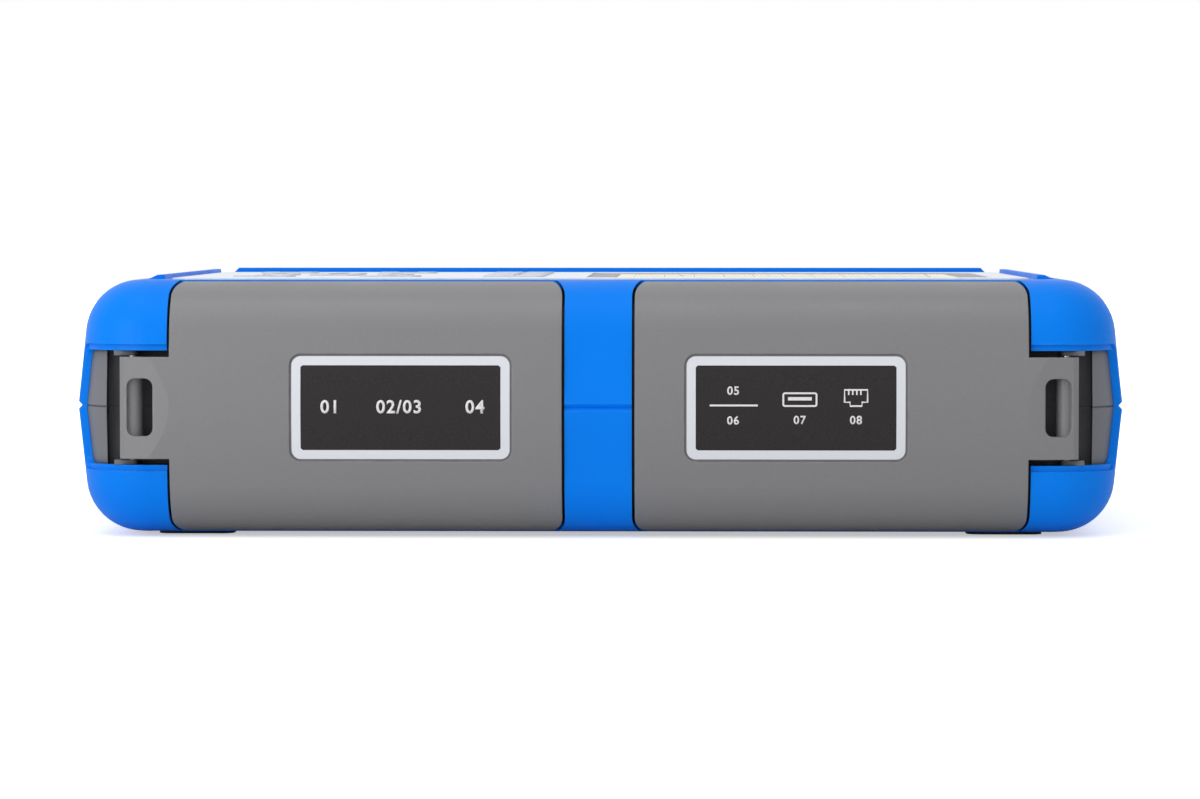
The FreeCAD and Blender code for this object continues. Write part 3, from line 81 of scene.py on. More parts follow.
class Mat:
    """A small wrapper that keeps node building short."""

    def __init__(self, name):
        self.material = bpy.data.materials.new(name)
        self.material.use_nodes = True
        self.tree = self.material.node_tree
        self.shader = self.tree.nodes["Principled BSDF"]
        self.coords = self.tree.nodes.new("ShaderNodeTexCoord").outputs["Object"]

    def add(self, kind, **settings):
        node = self.tree.nodes.new(kind)
        for key, value in settings.items():
            setattr(node, key, value)
        return node

    def link(self, a, b):
        self.tree.links.new(a, b)

    def feed(self, value, socket):
        if hasattr(value, "is_output"):
            self.link(value, socket)
        else:
            socket.default_value = value

    def noise(self, scale, detail=2.0, rough=0.5, stretch=None):
        """A cloudy noise: how fine, how many octaves, how rough, and how stretched."""
        node = self.add("ShaderNodeTexNoise")
        node.inputs["Scale"].default_value = scale
        node.inputs["Detail"].default_value = detail
        node.inputs["Roughness"].default_value = rough
        if stretch:
            turn = self.add("ShaderNodeMapping")
            turn.inputs["Scale"].default_value = stretch
            self.link(self.coords, turn.inputs["Vector"])
            self.link(turn.outputs[0], node.inputs["Vector"])
        else:
            self.link(self.coords, node.inputs["Vector"])
        return node.outputs["Fac"]

    def cells(self, scale):
        """Pebbles: the distance to the nearest of many scattered points."""
        node = self.add("ShaderNodeTexVoronoi")
        node.inputs["Scale"].default_value = scale
        self.link(self.coords, node.inputs["Vector"])
        return node.outputs["Distance"]

    def remap(self, value, low, high, to_low, to_high, smooth=False):
        """Maps low..high on to to_low..to_high, held at the ends."""
        node = self.add("ShaderNodeMapRange")
        node.clamp = True
        if smooth:
            node.interpolation_type = "SMOOTHSTEP"
        for socket, number in zip(("From Min", "From Max", "To Min", "To Max"),
                                  (low, high, to_low, to_high)):
            node.inputs[socket].default_value = number
        self.feed(value, node.inputs["Value"])
        return node.outputs["Result"]

    def spread(self, noise, to_low, to_high):
        """Stretches a noise's useful range between two values."""
        return self.remap(noise, *NOISE_ENDS, to_low, to_high)

    def calc(self, operation, a, b):
        node = self.add("ShaderNodeMath", operation=operation)
        self.feed(a, node.inputs[0])
        self.feed(b, node.inputs[1])
        return node.outputs[0]

    def mix(self, factor, a, b):
        node = self.add("ShaderNodeMix", data_type="RGBA")
        self.feed(factor, node.inputs["Factor"])
        self.feed(a, node.inputs[MIX_A])
        self.feed(b, node.inputs[MIX_B])
        return node.outputs[MIX_RESULT]

    def crevice(self, reach):
        """0 deep in a corner or pocket, 1 in the open."""
        shade = self.add("ShaderNodeAmbientOcclusion", samples=LOOKUP_RAYS)
        shade.inputs["Distance"].default_value = reach
        return self.remap(shade.outputs["AO"], *CREVICE_SKY, 0, 1, smooth=True)

    def edge_mask(self, radius):
        """1 on worn edges, 0 on flats: how far a rounded normal leans from the real one."""
        lean = self.add("ShaderNodeVectorMath", operation="DOT_PRODUCT")
        self.link(self.soft_edge(radius), lean.inputs[0])
        self.link(self.add("ShaderNodeNewGeometry").outputs["Normal"], lean.inputs[1])
        return self.remap(lean.outputs["Value"], *EDGE_LEAN, 1, 0)

    def rubbed(self, radius, grain, patchy, least):
        """Worn edges, broken up by a noise whose low patches keep only a little wear."""
        patches = self.remap(self.noise(*grain), *patchy, least, 1)
        return self.calc("MULTIPLY", self.edge_mask(radius), patches)

    def bump(self, height, strength, distance, normal=None):
        """A bump of a strength from 0 to 1, as deep as the distance in metres."""
        node = self.add("ShaderNodeBump")
        node.inputs["Strength"].default_value = strength
        node.inputs["Distance"].default_value = distance
        self.feed(height, node.inputs["Height"])
        if normal is not None:
            self.link(normal, node.inputs["Normal"])
        return node.outputs["Normal"]

    def soft_edge(self, radius):
        """The normal, rounded over edges."""
        node = self.add("ShaderNodeBevel", samples=LOOKUP_RAYS)
        node.inputs["Radius"].default_value = radius
        return node.outputs["Normal"]

    def surface(self, color, roughness, normal, **constants):
        """Feeds the shader. Each constant is a socket's name with _ for its spaces."""
        self.feed(color, self.shader.inputs["Base Color"])
        self.feed(roughness, self.shader.inputs["Roughness"])
        self.feed(normal, self.shader.inputs["Normal"])
        for key, value in constants.items():
            self.shader.inputs[key.replace("_", " ")].default_value = value
        return self.material


def toned(color, factor):
    """A linear colour with its light scaled."""
    return tuple(v * factor for v in color[:3]) + (1.0,)


GRAIN_DEPTH = 0.03 * MM
BRUSH_DEPTH = 0.02 * MM
BRUSH_STRENGTH = 0.15
# How much paler and how much smoother a rubbed edge of moulded plastic is.
RUB_TINT = 0.36
RUB_POLISH = -0.09
# How far a point looks for nearby walls when its corners and pockets are darkened: painted shade.
PAINTED_SHADE_REACH = 9 * MM
TARNISH = 0.72


def moulded(name, color, roughness, grain=5200, strength=0.35, edge=0.0004, mottle=0.05, lift=0.12,
            specular=0.5, crevice_shade=0.0):
    """Spark-eroded moulded plastic: a fine pebble grain, a slow drift of tone and edges
    rubbed a little paler and smoother. Corners and pockets can also be darkened by a given
    share, where shade falls: painted shade."""
    m = Mat(name)
    base = srgb(*color)
    pale = tuple(min(1.0, v * (1 + lift) + 0.02 * lift) for v in base[:3]) + (1.0,)
    dark = toned(base, 1 - mottle * 2.2)
    cloud = m.spread(m.noise(18, 3), 0, 1)
    pebbles = m.cells(grain)
    speck = m.remap(pebbles, 0.1, 0.7, 1, 0)
    tone = m.mix(m.calc("MULTIPLY", cloud, 0.55), base, dark)
    tone = m.mix(m.calc("MULTIPLY", speck, mottle * 2), tone, dark)
    rubbed = m.rubbed(0.0006, grain=(160, 4), patchy=(0.4, 0.62), least=0.15)
    tone = m.mix(m.calc("MULTIPLY", rubbed, RUB_TINT), tone, pale)
    # Corners, pockets and seams are darkened where shade falls: painted shade.
    if crevice_shade:
        tone = m.mix(m.crevice(PAINTED_SHADE_REACH), toned(base, 1 - crevice_shade), tone)
    rough = m.calc("ADD", m.spread(m.noise(55, 4), roughness - 0.05, roughness + 0.06),
                   m.calc("MULTIPLY", rubbed, RUB_POLISH))
    grained = m.bump(pebbles, strength, GRAIN_DEPTH, m.soft_edge(edge) if edge else None)
    return m.surface(tone, rough, grained, Specular_IOR_Level=specular)


def metal(name, color, roughness, brush=(1, 1, 40)):
    """Brushed metal: streaks along one direction and a patchy dulling."""
    m = Mat(name)
    base = srgb(*color)
    streak = m.noise(420, 5, 0.6, brush)
    tone = m.mix(m.remap(m.noise(90, 4), 0.42, 0.7, 0, 0.55), base, toned(base, TARNISH))
    rough = m.spread(streak, roughness - 0.06, roughness + 0.1)
    brushed = m.bump(streak, BRUSH_STRENGTH, BRUSH_DEPTH, m.soft_edge(0.0002))
    return m.surface(tone, rough, brushed, Metallic=1.0)


# ------------------------------------------------------------------ materials
def overmould():
    """Soft blue rubber over the shells. A satin bloom, finely grained."""
    m = Mat("blue_overmould_skin")
    deep = srgb(0, 119, 230)
    lit = srgb(0, 126, 238)
    scuffed = srgb(52, 148, 240)
    pebbles = m.cells(4200)
    cloud = m.spread(m.noise(14, 4), 0, 1)
    tone = m.mix(cloud, deep, lit)
    rub = m.rubbed(0.0008, grain=(240, 5), patchy=(0.4, 0.65), least=0.2)
    tone = m.mix(m.calc("MULTIPLY", rub, 0.45), tone, scuffed)
    dusty = m.remap(m.noise(900, 6, 0.7), 0.60, 0.8, 0, 0.05)
    tone = m.mix(dusty, tone, srgb(120, 170, 225))
    rough = m.spread(m.noise(70, 4), 0.36, 0.46)
    rough = m.calc("ADD", rough, m.calc("MULTIPLY", rub, 0.12))
    fine = m.bump(pebbles, 0.28, 0.000025, m.soft_edge(0.0003))
    waves = m.bump(m.noise(38, 2), 0.06, 0.0004, fine)
    return m.surface(tone, rough, waves, Specular_IOR_Level=0.08)


def door_plastic():
    """Grey door moulding with a coarser spark-eroded texture."""
    m = Mat("grey_door_plastic")
    base = srgb(122, 122, 124)
    dark = srgb(108, 108, 111)
    pale = srgb(152, 152, 154)
    pebbles = m.cells(2600)
    fine = m.noise(5200, 3)
    cloud = m.spread(m.noise(16, 3), 0, 1)
    tone = m.mix(m.calc("MULTIPLY", cloud, 0.12), base, dark)
    tone = m.mix(m.remap(pebbles, 0.08, 0.6, 0.16, 0), tone, dark)
    tone = m.mix(m.remap(fine, 0.55, 0.75, 0, 0.3), tone, pale)
    rub = m.rubbed(0.0007, grain=(260, 5), patchy=(0.42, 0.62), least=0.2)
    tone = m.mix(m.calc("MULTIPLY", rub, 0.5), tone, pale)
    scratches = m.remap(m.noise(90, 6, 0.7, (1, 1, 14)), 0.66, 0.74, 0, 0.14)
    tone = m.mix(scratches, tone, pale)
    rough = m.spread(m.noise(60, 4), 0.34, 0.46)
    first = m.bump(pebbles, 0.35, 0.00004, m.soft_edge(0.0005))
    return m.surface(tone, rough, m.bump(fine, 0.15, 0.00003, first), Specular_IOR_Level=0.45)


def glass_screen():
    """The dark border of the display window, faintly smeared."""
    m = Mat("display_glass_surface")
    smears = m.noise(60, 5, 0.65, (1, 2.2, 1))
    tone = m.mix(m.remap(smears, 0.35, 0.7, 0, 1), srgb(14, 17, 22), srgb(22, 26, 33))
    rough = m.remap(smears, 0.35, 0.75, 0.22, 0.34)
    return m.surface(tone, rough, m.bump(m.noise(18, 1), 0.03, 0.0001), Specular_IOR_Level=0.5)


def fibre_yellow():
    """The coil of jacketed fibre: turns stacked along Z."""
    m = Mat("yellow_fibre_jacket")
    turns = m.add("ShaderNodeTexWave", wave_type="BANDS", bands_direction="Z")
    turns.inputs["Scale"].default_value = 330
    m.link(m.coords, turns.inputs["Vector"])
    tone = m.mix(turns.outputs["Fac"], srgb(196, 150, 20), srgb(242, 200, 44))
    rough = m.spread(m.noise(300, 3), 0.35, 0.5)
    return m.surface(tone, rough, m.bump(turns.outputs["Fac"], 0.5, 0.0004))


def circuit():
    """Green solder mask over a grid of tracks."""
    m = Mat("circuit_board_mask")
    brick = m.add("ShaderNodeTexBrick")
    brick.inputs["Scale"].default_value = 260
    brick.inputs["Mortar Size"].default_value = 0.03
    brick.inputs["Color1"].default_value = srgb(18, 84, 52)
    brick.inputs["Color2"].default_value = srgb(14, 70, 44)
    brick.inputs["Mortar"].default_value = srgb(44, 122, 78)
    m.link(m.coords, brick.inputs["Vector"])
    return m.surface(brick.outputs["Color"], m.spread(m.noise(120, 3), 0.3, 0.45),
                     m.bump(brick.outputs["Fac"], 0.3, 0.00005))


def wrap():
    """The battery's shrink film, with soft folds."""
    m = Mat("battery_wrap_film")
    folds = m.noise(40, 4, 0.5, (0.4, 1.6, 1))
    tone = m.mix(m.spread(folds, 0, 1), srgb(28, 60, 92), srgb(40, 78, 116))
    return m.surface(tone, m.spread(folds, 0.22, 0.36), m.bump(folds, 0.3, 0.0006))


def light_pipe():
    """The milky lenses of the status lights."""
    m = Mat("light_pipe_lens")
    milky = m.noise(800, 3)
    tone = m.mix(m.spread(milky, 0, 1), srgb(196, 208, 200), srgb(224, 232, 226))
    return m.surface(tone, m.spread(milky, 0.12, 0.24), m.bump(milky, 0.1, 0.00002),
                     Subsurface_Weight=0.15)


slots = {
    "blue_overmould": overmould(),
    # The grey shell's corners, pockets and seams are darkened: painted shade.
    "grey_shell": moulded("grey_shell_plastic", (112, 113, 119), 0.46, grain=4200, strength=0.3,
                          specular=0.25, crevice_shade=0.75),
    "grey_door": door_plastic(),
    "steel": metal("steel_plain", (190, 192, 195), 0.3),
    "black_rubber": moulded("black_rubber_soft", (34, 34, 36), 0.62, grain=6000, strength=0.2, lift=0.4),
    "dark_plate": moulded("dark_plate_plastic", (52, 52, 56), 0.5, grain=5200, strength=0.3, lift=0.4),
    "plated_metal": metal("plated_nickel", (205, 203, 196), 0.24, (1, 30, 1)),
    "brass_body": metal("brass_turned", (196, 160, 92), 0.28, (1, 40, 1)),
    "black_plastic": moulded("black_plastic_gloss", (30, 30, 32), 0.35, grain=7000, strength=0.15, lift=0.5),
    "circuit_board": circuit(),
    "anodised_case": metal("anodised_tray", (120, 126, 134), 0.42, (40, 1, 1)),
    "yellow_fibre": fibre_yellow(),
    "light_pipe": light_pipe(),
    "pale_fascia": moulded("pale_fascia_plastic", (226, 233, 240), 0.42, grain=6400, strength=0.18,
                           lift=0.04, mottle=0.012),
    "display_glass": glass_screen(),
    "silicone_mat": moulded("silicone_sheet", (90, 96, 104), 0.6, grain=3000, strength=0.1),
    "battery_wrap": wrap(),
    "key_rubber": moulded("key_rubber_soft", (215, 221, 230), 0.5, grain=6400, strength=0.18, lift=0.3,
                          edge=0.0005),
    "label_film": moulded("label_film_white", (214, 217, 223), 0.34, grain=9000, strength=0.08, lift=0.02,
                          mottle=0.01, edge=0),
}
for piece in nodes.values():
    for index, old in enumerate(piece.data.materials):
        piece.data.materials[index] = slots[old.name.split(".")[0]]


# ------------------------------------------------------------------ print and legends
def ink(name, color, spread=12, rough=0.36, specular=0.3):
    """Screen-printed ink: a fine speckle and a faint raised skin."""
    m = Mat(name)
    speckle = m.noise(2600, 4)
    low = srgb(*[max(0, v - spread) for v in color])
    high = srgb(*[min(255, v + spread) for v in color])
    return m.surface(m.mix(m.spread(speckle, 0, 1), low, high),
                     m.spread(m.noise(500, 3), rough - 0.05, rough + 0.08),
                     m.bump(speckle, 0.12, 0.00001), Specular_IOR_Level=specular)


INK = {
    "black": ink("label_panel_ink", (47, 44, 45), 4, 0.46, 0.12),
    "grey": ink("label_print_ink", (222, 221, 221), 8),
    "navy": ink("legend_ink_navy", (44, 62, 96)),
    "red": ink("legend_ink_red", (190, 40, 40)),
}
INK_THICK = 0.03 * MM
SCREEN_THICK = 0.006 * MM
# Corners of an outline that are closer than this, in millimetres, are one corner.
SAME_CORNER = 0.0005
# What the numerals' strokes gain on each side, as a share of the letter size.
STROKE_GAIN = 0.022


def flat_piece(name, loops, where, body, material, thick=INK_THICK):
    """Outlines in millimetres on a surface become a thin raised layer of ink.
    where(u, v) gives the surface point and its normal."""
    work = bmesh.new()
    for loop in loops:
        verts = [work.verts.new((u, v, 0)) for u, v in loop]
        work.faces.new(verts)
    bmesh.ops.remove_doubles(work, verts=work.verts[:], dist=SAME_CORNER)
    bmesh.ops.triangulate(work, faces=work.faces[:])
    lay(name, work, where, body, material, thick)


def lay(name, work, where, body, material, thick=INK_THICK):
    """Thickens a flat bmesh by the ink's depth and wraps it on a surface."""
    made = bmesh.ops.extrude_face_region(work, geom=work.faces[:])
    raised = {v for v in made["geom"] if isinstance(v, bmesh.types.BMVert)}
    for v in work.verts:
        point, normal = where(v.co.x, v.co.y)
        v.co = point + normal * (thick if v in raised else 0.0)
    bmesh.ops.recalc_face_normals(work, faces=work.faces[:])
    mesh = bpy.data.meshes.new(name)
    work.to_mesh(mesh)
    work.free()
    piece = bpy.data.objects.new(name, mesh)
    scene.collection.objects.link(piece)
    mesh.materials.append(material)
    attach(piece, body)


def digits(text, height, centre, spacing=1.05):
    """Plain numerals as a flat bmesh, centred, height in millimetres."""
    curve = bpy.data.curves.new("digits_" + str(len(bpy.data.curves)), "FONT")
    curve.body = text
    curve.align_x = "CENTER"
    curve.size = 1.0
    curve.space_character = spacing
    curve.offset = STROKE_GAIN
    curve.resolution_u = 4
    holder = bpy.data.objects.new("digits_holder", curve)
    scene.collection.objects.link(holder)
    bpy.context.view_layer.update()
    graph = bpy.context.evaluated_depsgraph_get()
    mesh = bpy.data.meshes.new_from_object(holder.evaluated_get(graph))
    bpy.data.objects.remove(holder)
    bpy.data.curves.remove(curve)
    ys = [v.co.y for v in mesh.vertices]
    xs = [v.co.x for v in mesh.vertices]
    scale = height / (max(ys) - min(ys))
    shift = Vector(((max(xs) + min(xs)) / 2, (max(ys) + min(ys)) / 2, 0))
    for v in mesh.vertices:
        v.co = (v.co - shift) * scale + Vector((*centre, 0))
    work = bmesh.new()
    work.from_mesh(mesh)
    bpy.data.meshes.remove(mesh)
    return work


def arc(cx, cy, radius, start, stop, steps):
    """Points round part of a circle, angles in degrees."""
    angles = [math.radians(start + (stop - start) * i / steps) for i in range(steps + 1)]
    return [(cx + radius * math.cos(a), cy + radius * math.sin(a)) for a in angles]


def stroke(points, width, closed=False):
    """Quads along a line of points, each a closed outline of four corners."""
    quads = []
    count = len(points)
    offsets = []
    for i in range(count):
        before = Vector(points[(i - 1) % count]) if closed or i else Vector(points[i])
        after = Vector(points[(i + 1) % count]) if closed or i < count - 1 else Vector(points[i])
        run = (after - before).normalized()
        offsets.append(Vector((-run.y, run.x)) * width / 2)
    for i in range(count if closed else count - 1):
        a, b = Vector(points[i]), Vector(points[(i + 1) % count])
        oa, ob = offsets[i], offsets[(i + 1) % count]
        quads.append([tuple(a + oa), tuple(a - oa), tuple(b - ob), tuple(b + ob)])
    return quads


CORNER_STEPS = 6


def rounded(x0, y0, x1, y1, r):
    """The outline of a rounded rectangle."""
    return (arc(x1 - r, y0 + r, r, -90, 0, CORNER_STEPS) + arc(x1 - r, y1 - r, r, 0, 90, CORNER_STEPS)
            + arc(x0 + r, y1 - r, r, 90, 180, CORNER_STEPS)
            + arc(x0 + r, y0 + r, r, 180, 270, CORNER_STEPS))


def bar(x0, y0, x1, y1):
    """The outline of a plain rectangle."""
    return [(x0, y0), (x1, y0), (x1, y1), (x0, y1)]


# The radius of the doors' bowed faces, as in the CAD. The labels are bowed with them.
DOOR_BOW = 100 * MM
DOOR_OF = {"fibre_door_label": "fibre_port_door", "data_door_label": "data_port_door"}


def label_face(node):
    """A function from millimetres on the label to its bowed face and its normal there."""
    low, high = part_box(node)
    middle_x, middle_z = (low.x + high.x) / 2, (low.z + high.z) / 2
    radius = DOOR_BOW - (low.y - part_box(DOOR_OF[node])[0].y)
    axis_y = low.y + radius

    def where(u, v):
        z = v * MM
        drop = math.sqrt(radius * radius - z * z)
        normal = Vector((0, -drop / radius, z / radius))
        return Vector((middle_x + u * MM, axis_y - drop, middle_z + z)), normal
    return where


def panel(row_count, half_w, half_h, corner):
    """A flat rounded rectangle cut in rows, so that it can follow a bowed face."""
    work = bmesh.new()
    rows = []
    for i in range(row_count + 1):
        v = -half_h + 2 * half_h * i / row_count
        into = max(0.0, abs(v) - (half_h - corner))
        w = half_w - corner + math.sqrt(max(0.0, corner * corner - into * into))
        rows.append((work.verts.new((-w, v, 0)), work.verts.new((w, v, 0))))
    for a, b in zip(rows, rows[1:]):
        work.faces.new((a[0], a[1], b[1], b[0]))
    return work


fibre_face = label_face("fibre_door_label")
data_face = label_face("data_door_label")


def raised_by(where, lift):
    """The same surface, higher by a lift in metres."""
    def above(u, v):
        point, normal = where(u, v)
        return point + normal * lift, normal
    return above


# The labels' print, in millimetres from each label's middle.
PANEL = {"row_count": 48, "half_w": 23.6, "half_h": 10.0, "corner": 0.5}
NUMBER_SPACING = 1.12
FIBRE_NUMBER_HEIGHT = 3.2
FIBRE_NUMBERS = (("01", -17.0, 0.25), ("02/03", -0.4, 0.25), ("04", 17.6, 0.25))
DATA_NUMBER_HEIGHT = 2.05
DATA_NUMBERS = (("05", -14.8, 4.1), ("06", -14.8, -2.9), ("07", 0.9, -2.8), ("08", 14.1, -2.8))
SYMBOL_LINE = 0.42
BAR_SOCKET = rounded(-3.0, 0.5, 4.8, 3.5, 0.4)
BAR_TONGUE = bar(-1.9, 1.8, 3.7, 2.6)
JACK_SOCKET = [(11.4, 4.3), (16.8, 4.3), (16.8, 1.4), (15.5, 1.4), (15.5, 0.5), (12.7, 0.5),
               (12.7, 1.4), (11.4, 1.4)]
JACK_CONTACT_COUNT = 4
JACK_CONTACT_PITCH = 0.95
JACK_CONTACTS = [bar(12.2 + JACK_CONTACT_PITCH * i, 3.1, 12.55 + JACK_CONTACT_PITCH * i, 4.2)
                 for i in range(JACK_CONTACT_COUNT)]

for side, face, body in (("fibre", fibre_face, "fibre_door"), ("data", data_face, "data_door")):
    lay(side + "_label_panel", panel(**PANEL), face, body, INK["black"])

fibre_ink = raised_by(fibre_face, INK_THICK)
data_ink = raised_by(data_face, INK_THICK)
for side, rows, height, surface in (("fibre", FIBRE_NUMBERS, FIBRE_NUMBER_HEIGHT, fibre_ink),
                                    ("data", DATA_NUMBERS, DATA_NUMBER_HEIGHT, data_ink)):
    for index, (text, u, v) in enumerate(rows):
        lay(f"{side}_label_number_{index + 1}", digits(text, height, (u, v), NUMBER_SPACING), surface,
            side + "_door", INK["grey"])
for name, outlines in (("divider", [bar(-20.3, 0.4, -9.0, 0.84)]),
                       ("bar_socket", stroke(BAR_SOCKET, SYMBOL_LINE, True) + [BAR_TONGUE]),
                       ("jack_socket", stroke(JACK_SOCKET, SYMBOL_LINE, True) + JACK_CONTACTS)):
    flat_piece("data_label_" + name, outlines, data_ink, "data_door", INK["grey"])


def key_top(node):
    """A function from millimetres on a key to its crown. The user reads the keys from
    the far side, so that right is -X and up is -Y."""
    low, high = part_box(node)
    middle = (low + high) / 2

    def where(u, v):
        return Vector((middle.x - u * MM, middle.y - v * MM, high.z)), Vector((0, 0, 1))
    return where


def arrow(turn):
    """A solid arrowhead that points along an angle in degrees."""
    c, s = math.cos(math.radians(turn)), math.sin(math.radians(turn))
    shape = [(2.0, 0.0), (-1.3, 1.9), (-0.7, 0.0), (-1.3, -1.9)]
    return [[(x * c - y * s, x * s + y * c) for x, y in shape]]


LEGENDS = {
    "up_key": arrow(90), "down_key": arrow(-90), "left_key": arrow(180), "right_key": arrow(0),
    "ok_key": stroke(arc(0, 0, 2.4, 0, 345, 30), 0.7, True),
    "menu_key": [bar(-2.4, y - 0.3, 2.4, y + 0.3) for y in (-1.6, 0.0, 1.6)],
    "escape_key": (stroke([(2.4, -1.4), (2.4, 0.9), (-1.2, 0.9)], 0.55)
                   + [[(-2.8, 0.9), (-1.0, -0.5), (-1.0, 2.3)]]),
    "start_key": [[(-1.5, -1.9), (2.1, 0.0), (-1.5, 1.9)]],
    "power_key": stroke(arc(0, 0, 2.1, 125, 415, 30), 0.6) + [bar(-0.3, 0.4, 0.3, 2.8)],
}
SOFT_KEY_COUNT = 5
SOFT_KEY_NUMBER_HEIGHT = 3.0
for name, shape in LEGENDS.items():
    tint = INK["red"] if name == "power_key" else INK["navy"]
    flat_piece(name + "_legend", shape, key_top(name), name + "_cap", tint)
for index in range(1, SOFT_KEY_COUNT + 1):
    name = f"soft_key_{index}"
    lay(name + "_legend", digits(str(index), SOFT_KEY_NUMBER_HEIGHT, (0.0, 0.0)), key_top(name),
        name + "_cap", INK["navy"])

# ------------------------------------------------------------------ display and face
glass_low, glass_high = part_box("display_glass")
glass_mid = (glass_low + glass_high) / 2
# The lit area, and the plot on it, in millimetres from the glass's middle.
SCREEN_HALF_WIDTH = 42.0
SCREEN_HALF_HEIGHT = 34.0
SCREEN_CORNER = 0.6
PLOT_LEFT, PLOT_RIGHT, PLOT_LOW, PLOT_HIGH = -37.0, 38.0, -25.0, 26.0
PLOT_WIDTH = PLOT_RIGHT - PLOT_LEFT
PLOT_HEIGHT = PLOT_HIGH - PLOT_LOW
PLOT_COLUMNS = 10
PLOT_ROWS = 6
GRID_HALF_LINE = 0.08
TRACE_LINE = 0.42
SCALE_STEPS = 5
SCALE_STEP = 10
SCALE_HEIGHT = 1.7
SCALE_DROP = 3.2
# The trace: how it runs, and where and by how much a splice and a connector lose light.
TRACE_STEP = 1.5
TRACE_FALL = 0.30
TRACE_NEAR = 0.8
SPLICE_AT = -16
SPLICE_LOSS = 2.4
CONNECTOR_AT = 4
CONNECTOR_ECHO = 5.5
CONNECTOR_LOSS = 1.8
TAIL_POINTS = 8
TAIL_STEP = 1.2
TAIL_SWING = 1.2


def glass_top(u, v):
    """Millimetres on the glass, read from the user's side, to its surface."""
    return Vector((glass_mid.x - u * MM, glass_mid.y - v * MM, glass_high.z)), Vector((0, 0, 1))


def screen_material():
    """The lit panel: a pale paper tone with a fine pixel grid."""
    m = Mat("display_lit_panel")
    grid = m.add("ShaderNodeTexBrick")
    grid.offset = 0
    grid.inputs["Scale"].default_value = 1400
    grid.inputs["Mortar Size"].default_value = 0.06
    grid.inputs["Color1"].default_value = srgb(250, 248, 226)
    grid.inputs["Color2"].default_value = srgb(246, 244, 222)
    grid.inputs["Mortar"].default_value = srgb(226, 224, 204)
    m.link(m.coords, grid.inputs["Vector"])
    rough = m.remap(m.noise(70, 5, 0.65), 0.35, 0.75, 0.34, 0.46)
    return m.surface(grid.outputs["Color"], rough, m.bump(m.noise(18, 1), 0.03, 0.0001),
                     Specular_IOR_Level=0.12)


lit_area = rounded(-SCREEN_HALF_WIDTH, -SCREEN_HALF_HEIGHT, SCREEN_HALF_WIDTH, SCREEN_HALF_HEIGHT,
                   SCREEN_CORNER)
flat_piece("display_lit_area", [lit_area], glass_top, "case", screen_material(),
           SCREEN_THICK)
on_screen = raised_by(glass_top, SCREEN_THICK)
INK["grid"] = ink("screen_line_pale", (186, 196, 200), 4, 0.2)
INK["trace"] = ink("screen_line_trace", (24, 96, 168), 6, 0.2)
grid_lines = []
for i in range(PLOT_COLUMNS + 1):
    u = PLOT_LEFT + PLOT_WIDTH * i / PLOT_COLUMNS
    grid_lines.append(bar(u - GRID_HALF_LINE, PLOT_LOW, u + GRID_HALF_LINE, PLOT_HIGH))
for i in range(PLOT_ROWS + 1):
    v = PLOT_LOW + PLOT_HEIGHT * i / PLOT_ROWS
    grid_lines.append(bar(PLOT_LEFT, v - GRID_HALF_LINE, PLOT_RIGHT, v + GRID_HALF_LINE))
for index, line in enumerate(grid_lines):
    flat_piece(f"screen_grid_{index + 1}", [line], on_screen, "case", INK["grid"],
               SCREEN_THICK)
on_grid = raised_by(on_screen, SCREEN_THICK)


def trace_points():
    """A fibre trace: a launch spike, a sloping line with two losses and an end echo."""
    level = PLOT_HIGH - 12
    u = PLOT_LEFT + 2.4
    points = [(PLOT_LEFT + 0.6, PLOT_LOW + 2), (PLOT_LEFT + 1.4, PLOT_HIGH - 4), (u, level)]
    while u < PLOT_RIGHT - 14:
        u += TRACE_STEP
        level -= TRACE_FALL
        if abs(u - SPLICE_AT) < TRACE_NEAR:
            level -= SPLICE_LOSS
        if abs(u - CONNECTOR_AT) < TRACE_NEAR:
            points += [(u - 0.7, level), (u - 0.3, level + CONNECTOR_ECHO), (u + 0.3, level - 1.6)]
            level -= CONNECTOR_LOSS
        points.append((u, level))
    points += [(u + 0.5, level + 9), (u + 1.4, PLOT_LOW + 6), (u + 2.4, PLOT_LOW + 3.4)]
    for i in range(TAIL_POINTS):
        points.append((u + 3.4 + i * TAIL_STEP, PLOT_LOW + 2.4 + TAIL_SWING * math.sin(i * 2.4)))
    return points


flat_piece("screen_trace", stroke(trace_points(), TRACE_LINE), on_grid, "case",
           INK["trace"], SCREEN_THICK)
for index in range(SCALE_STEPS + 1):
    u = PLOT_LEFT + PLOT_WIDTH * index / SCALE_STEPS
    number = digits(str(index * SCALE_STEP), SCALE_HEIGHT, (u, PLOT_LOW - SCALE_DROP))
    lay(f"screen_scale_{index}", number, on_screen, "case", INK["navy"], SCREEN_THICK)

# ------------------------------------------------------------------ stage
WHITE = (1, 1, 1, 1)
PAPER_TONES = ((0.80, 0.80, 0.80, 1), (0.83, 0.83, 0.83, 1))
# How far from the middle the paper starts and ends its turn to plain white, in metres, and
# how much of its own light it shows there.
GLOW_REACH = (0.15, 0.26)
GLOW = (0.5, 1.0)


def floor_paper():
    """White paper. To the camera it glows, so that it is plain white away from the case and
    keeps the shadow close to it."""
    m = Mat("floor_paper")
    grain = m.noise(900, 4)
    m.surface(m.mix(m.spread(grain, 0, 1), *PAPER_TONES), 0.7, m.bump(grain, 0.05, 0.0001))
    away = m.add("ShaderNodeVectorMath", operation="LENGTH")
    m.link(m.coords, away.inputs[0])
    lifted = m.remap(away.outputs["Value"], *GLOW_REACH, *GLOW, smooth=True)
    seen = m.add("ShaderNodeLightPath").outputs["Is Camera Ray"]
    glow = m.add("ShaderNodeEmission")
    glow.inputs["Color"].default_value = WHITE
    m.link(m.calc("MULTIPLY", seen, lifted), glow.inputs["Strength"])
    both = m.add("ShaderNodeAddShader")
    m.link(m.shader.outputs[0], both.inputs[0])
    m.link(glow.outputs[0], both.inputs[1])
    m.link(both.outputs[0], m.tree.nodes["Material Output"].inputs["Surface"])
    return m.material


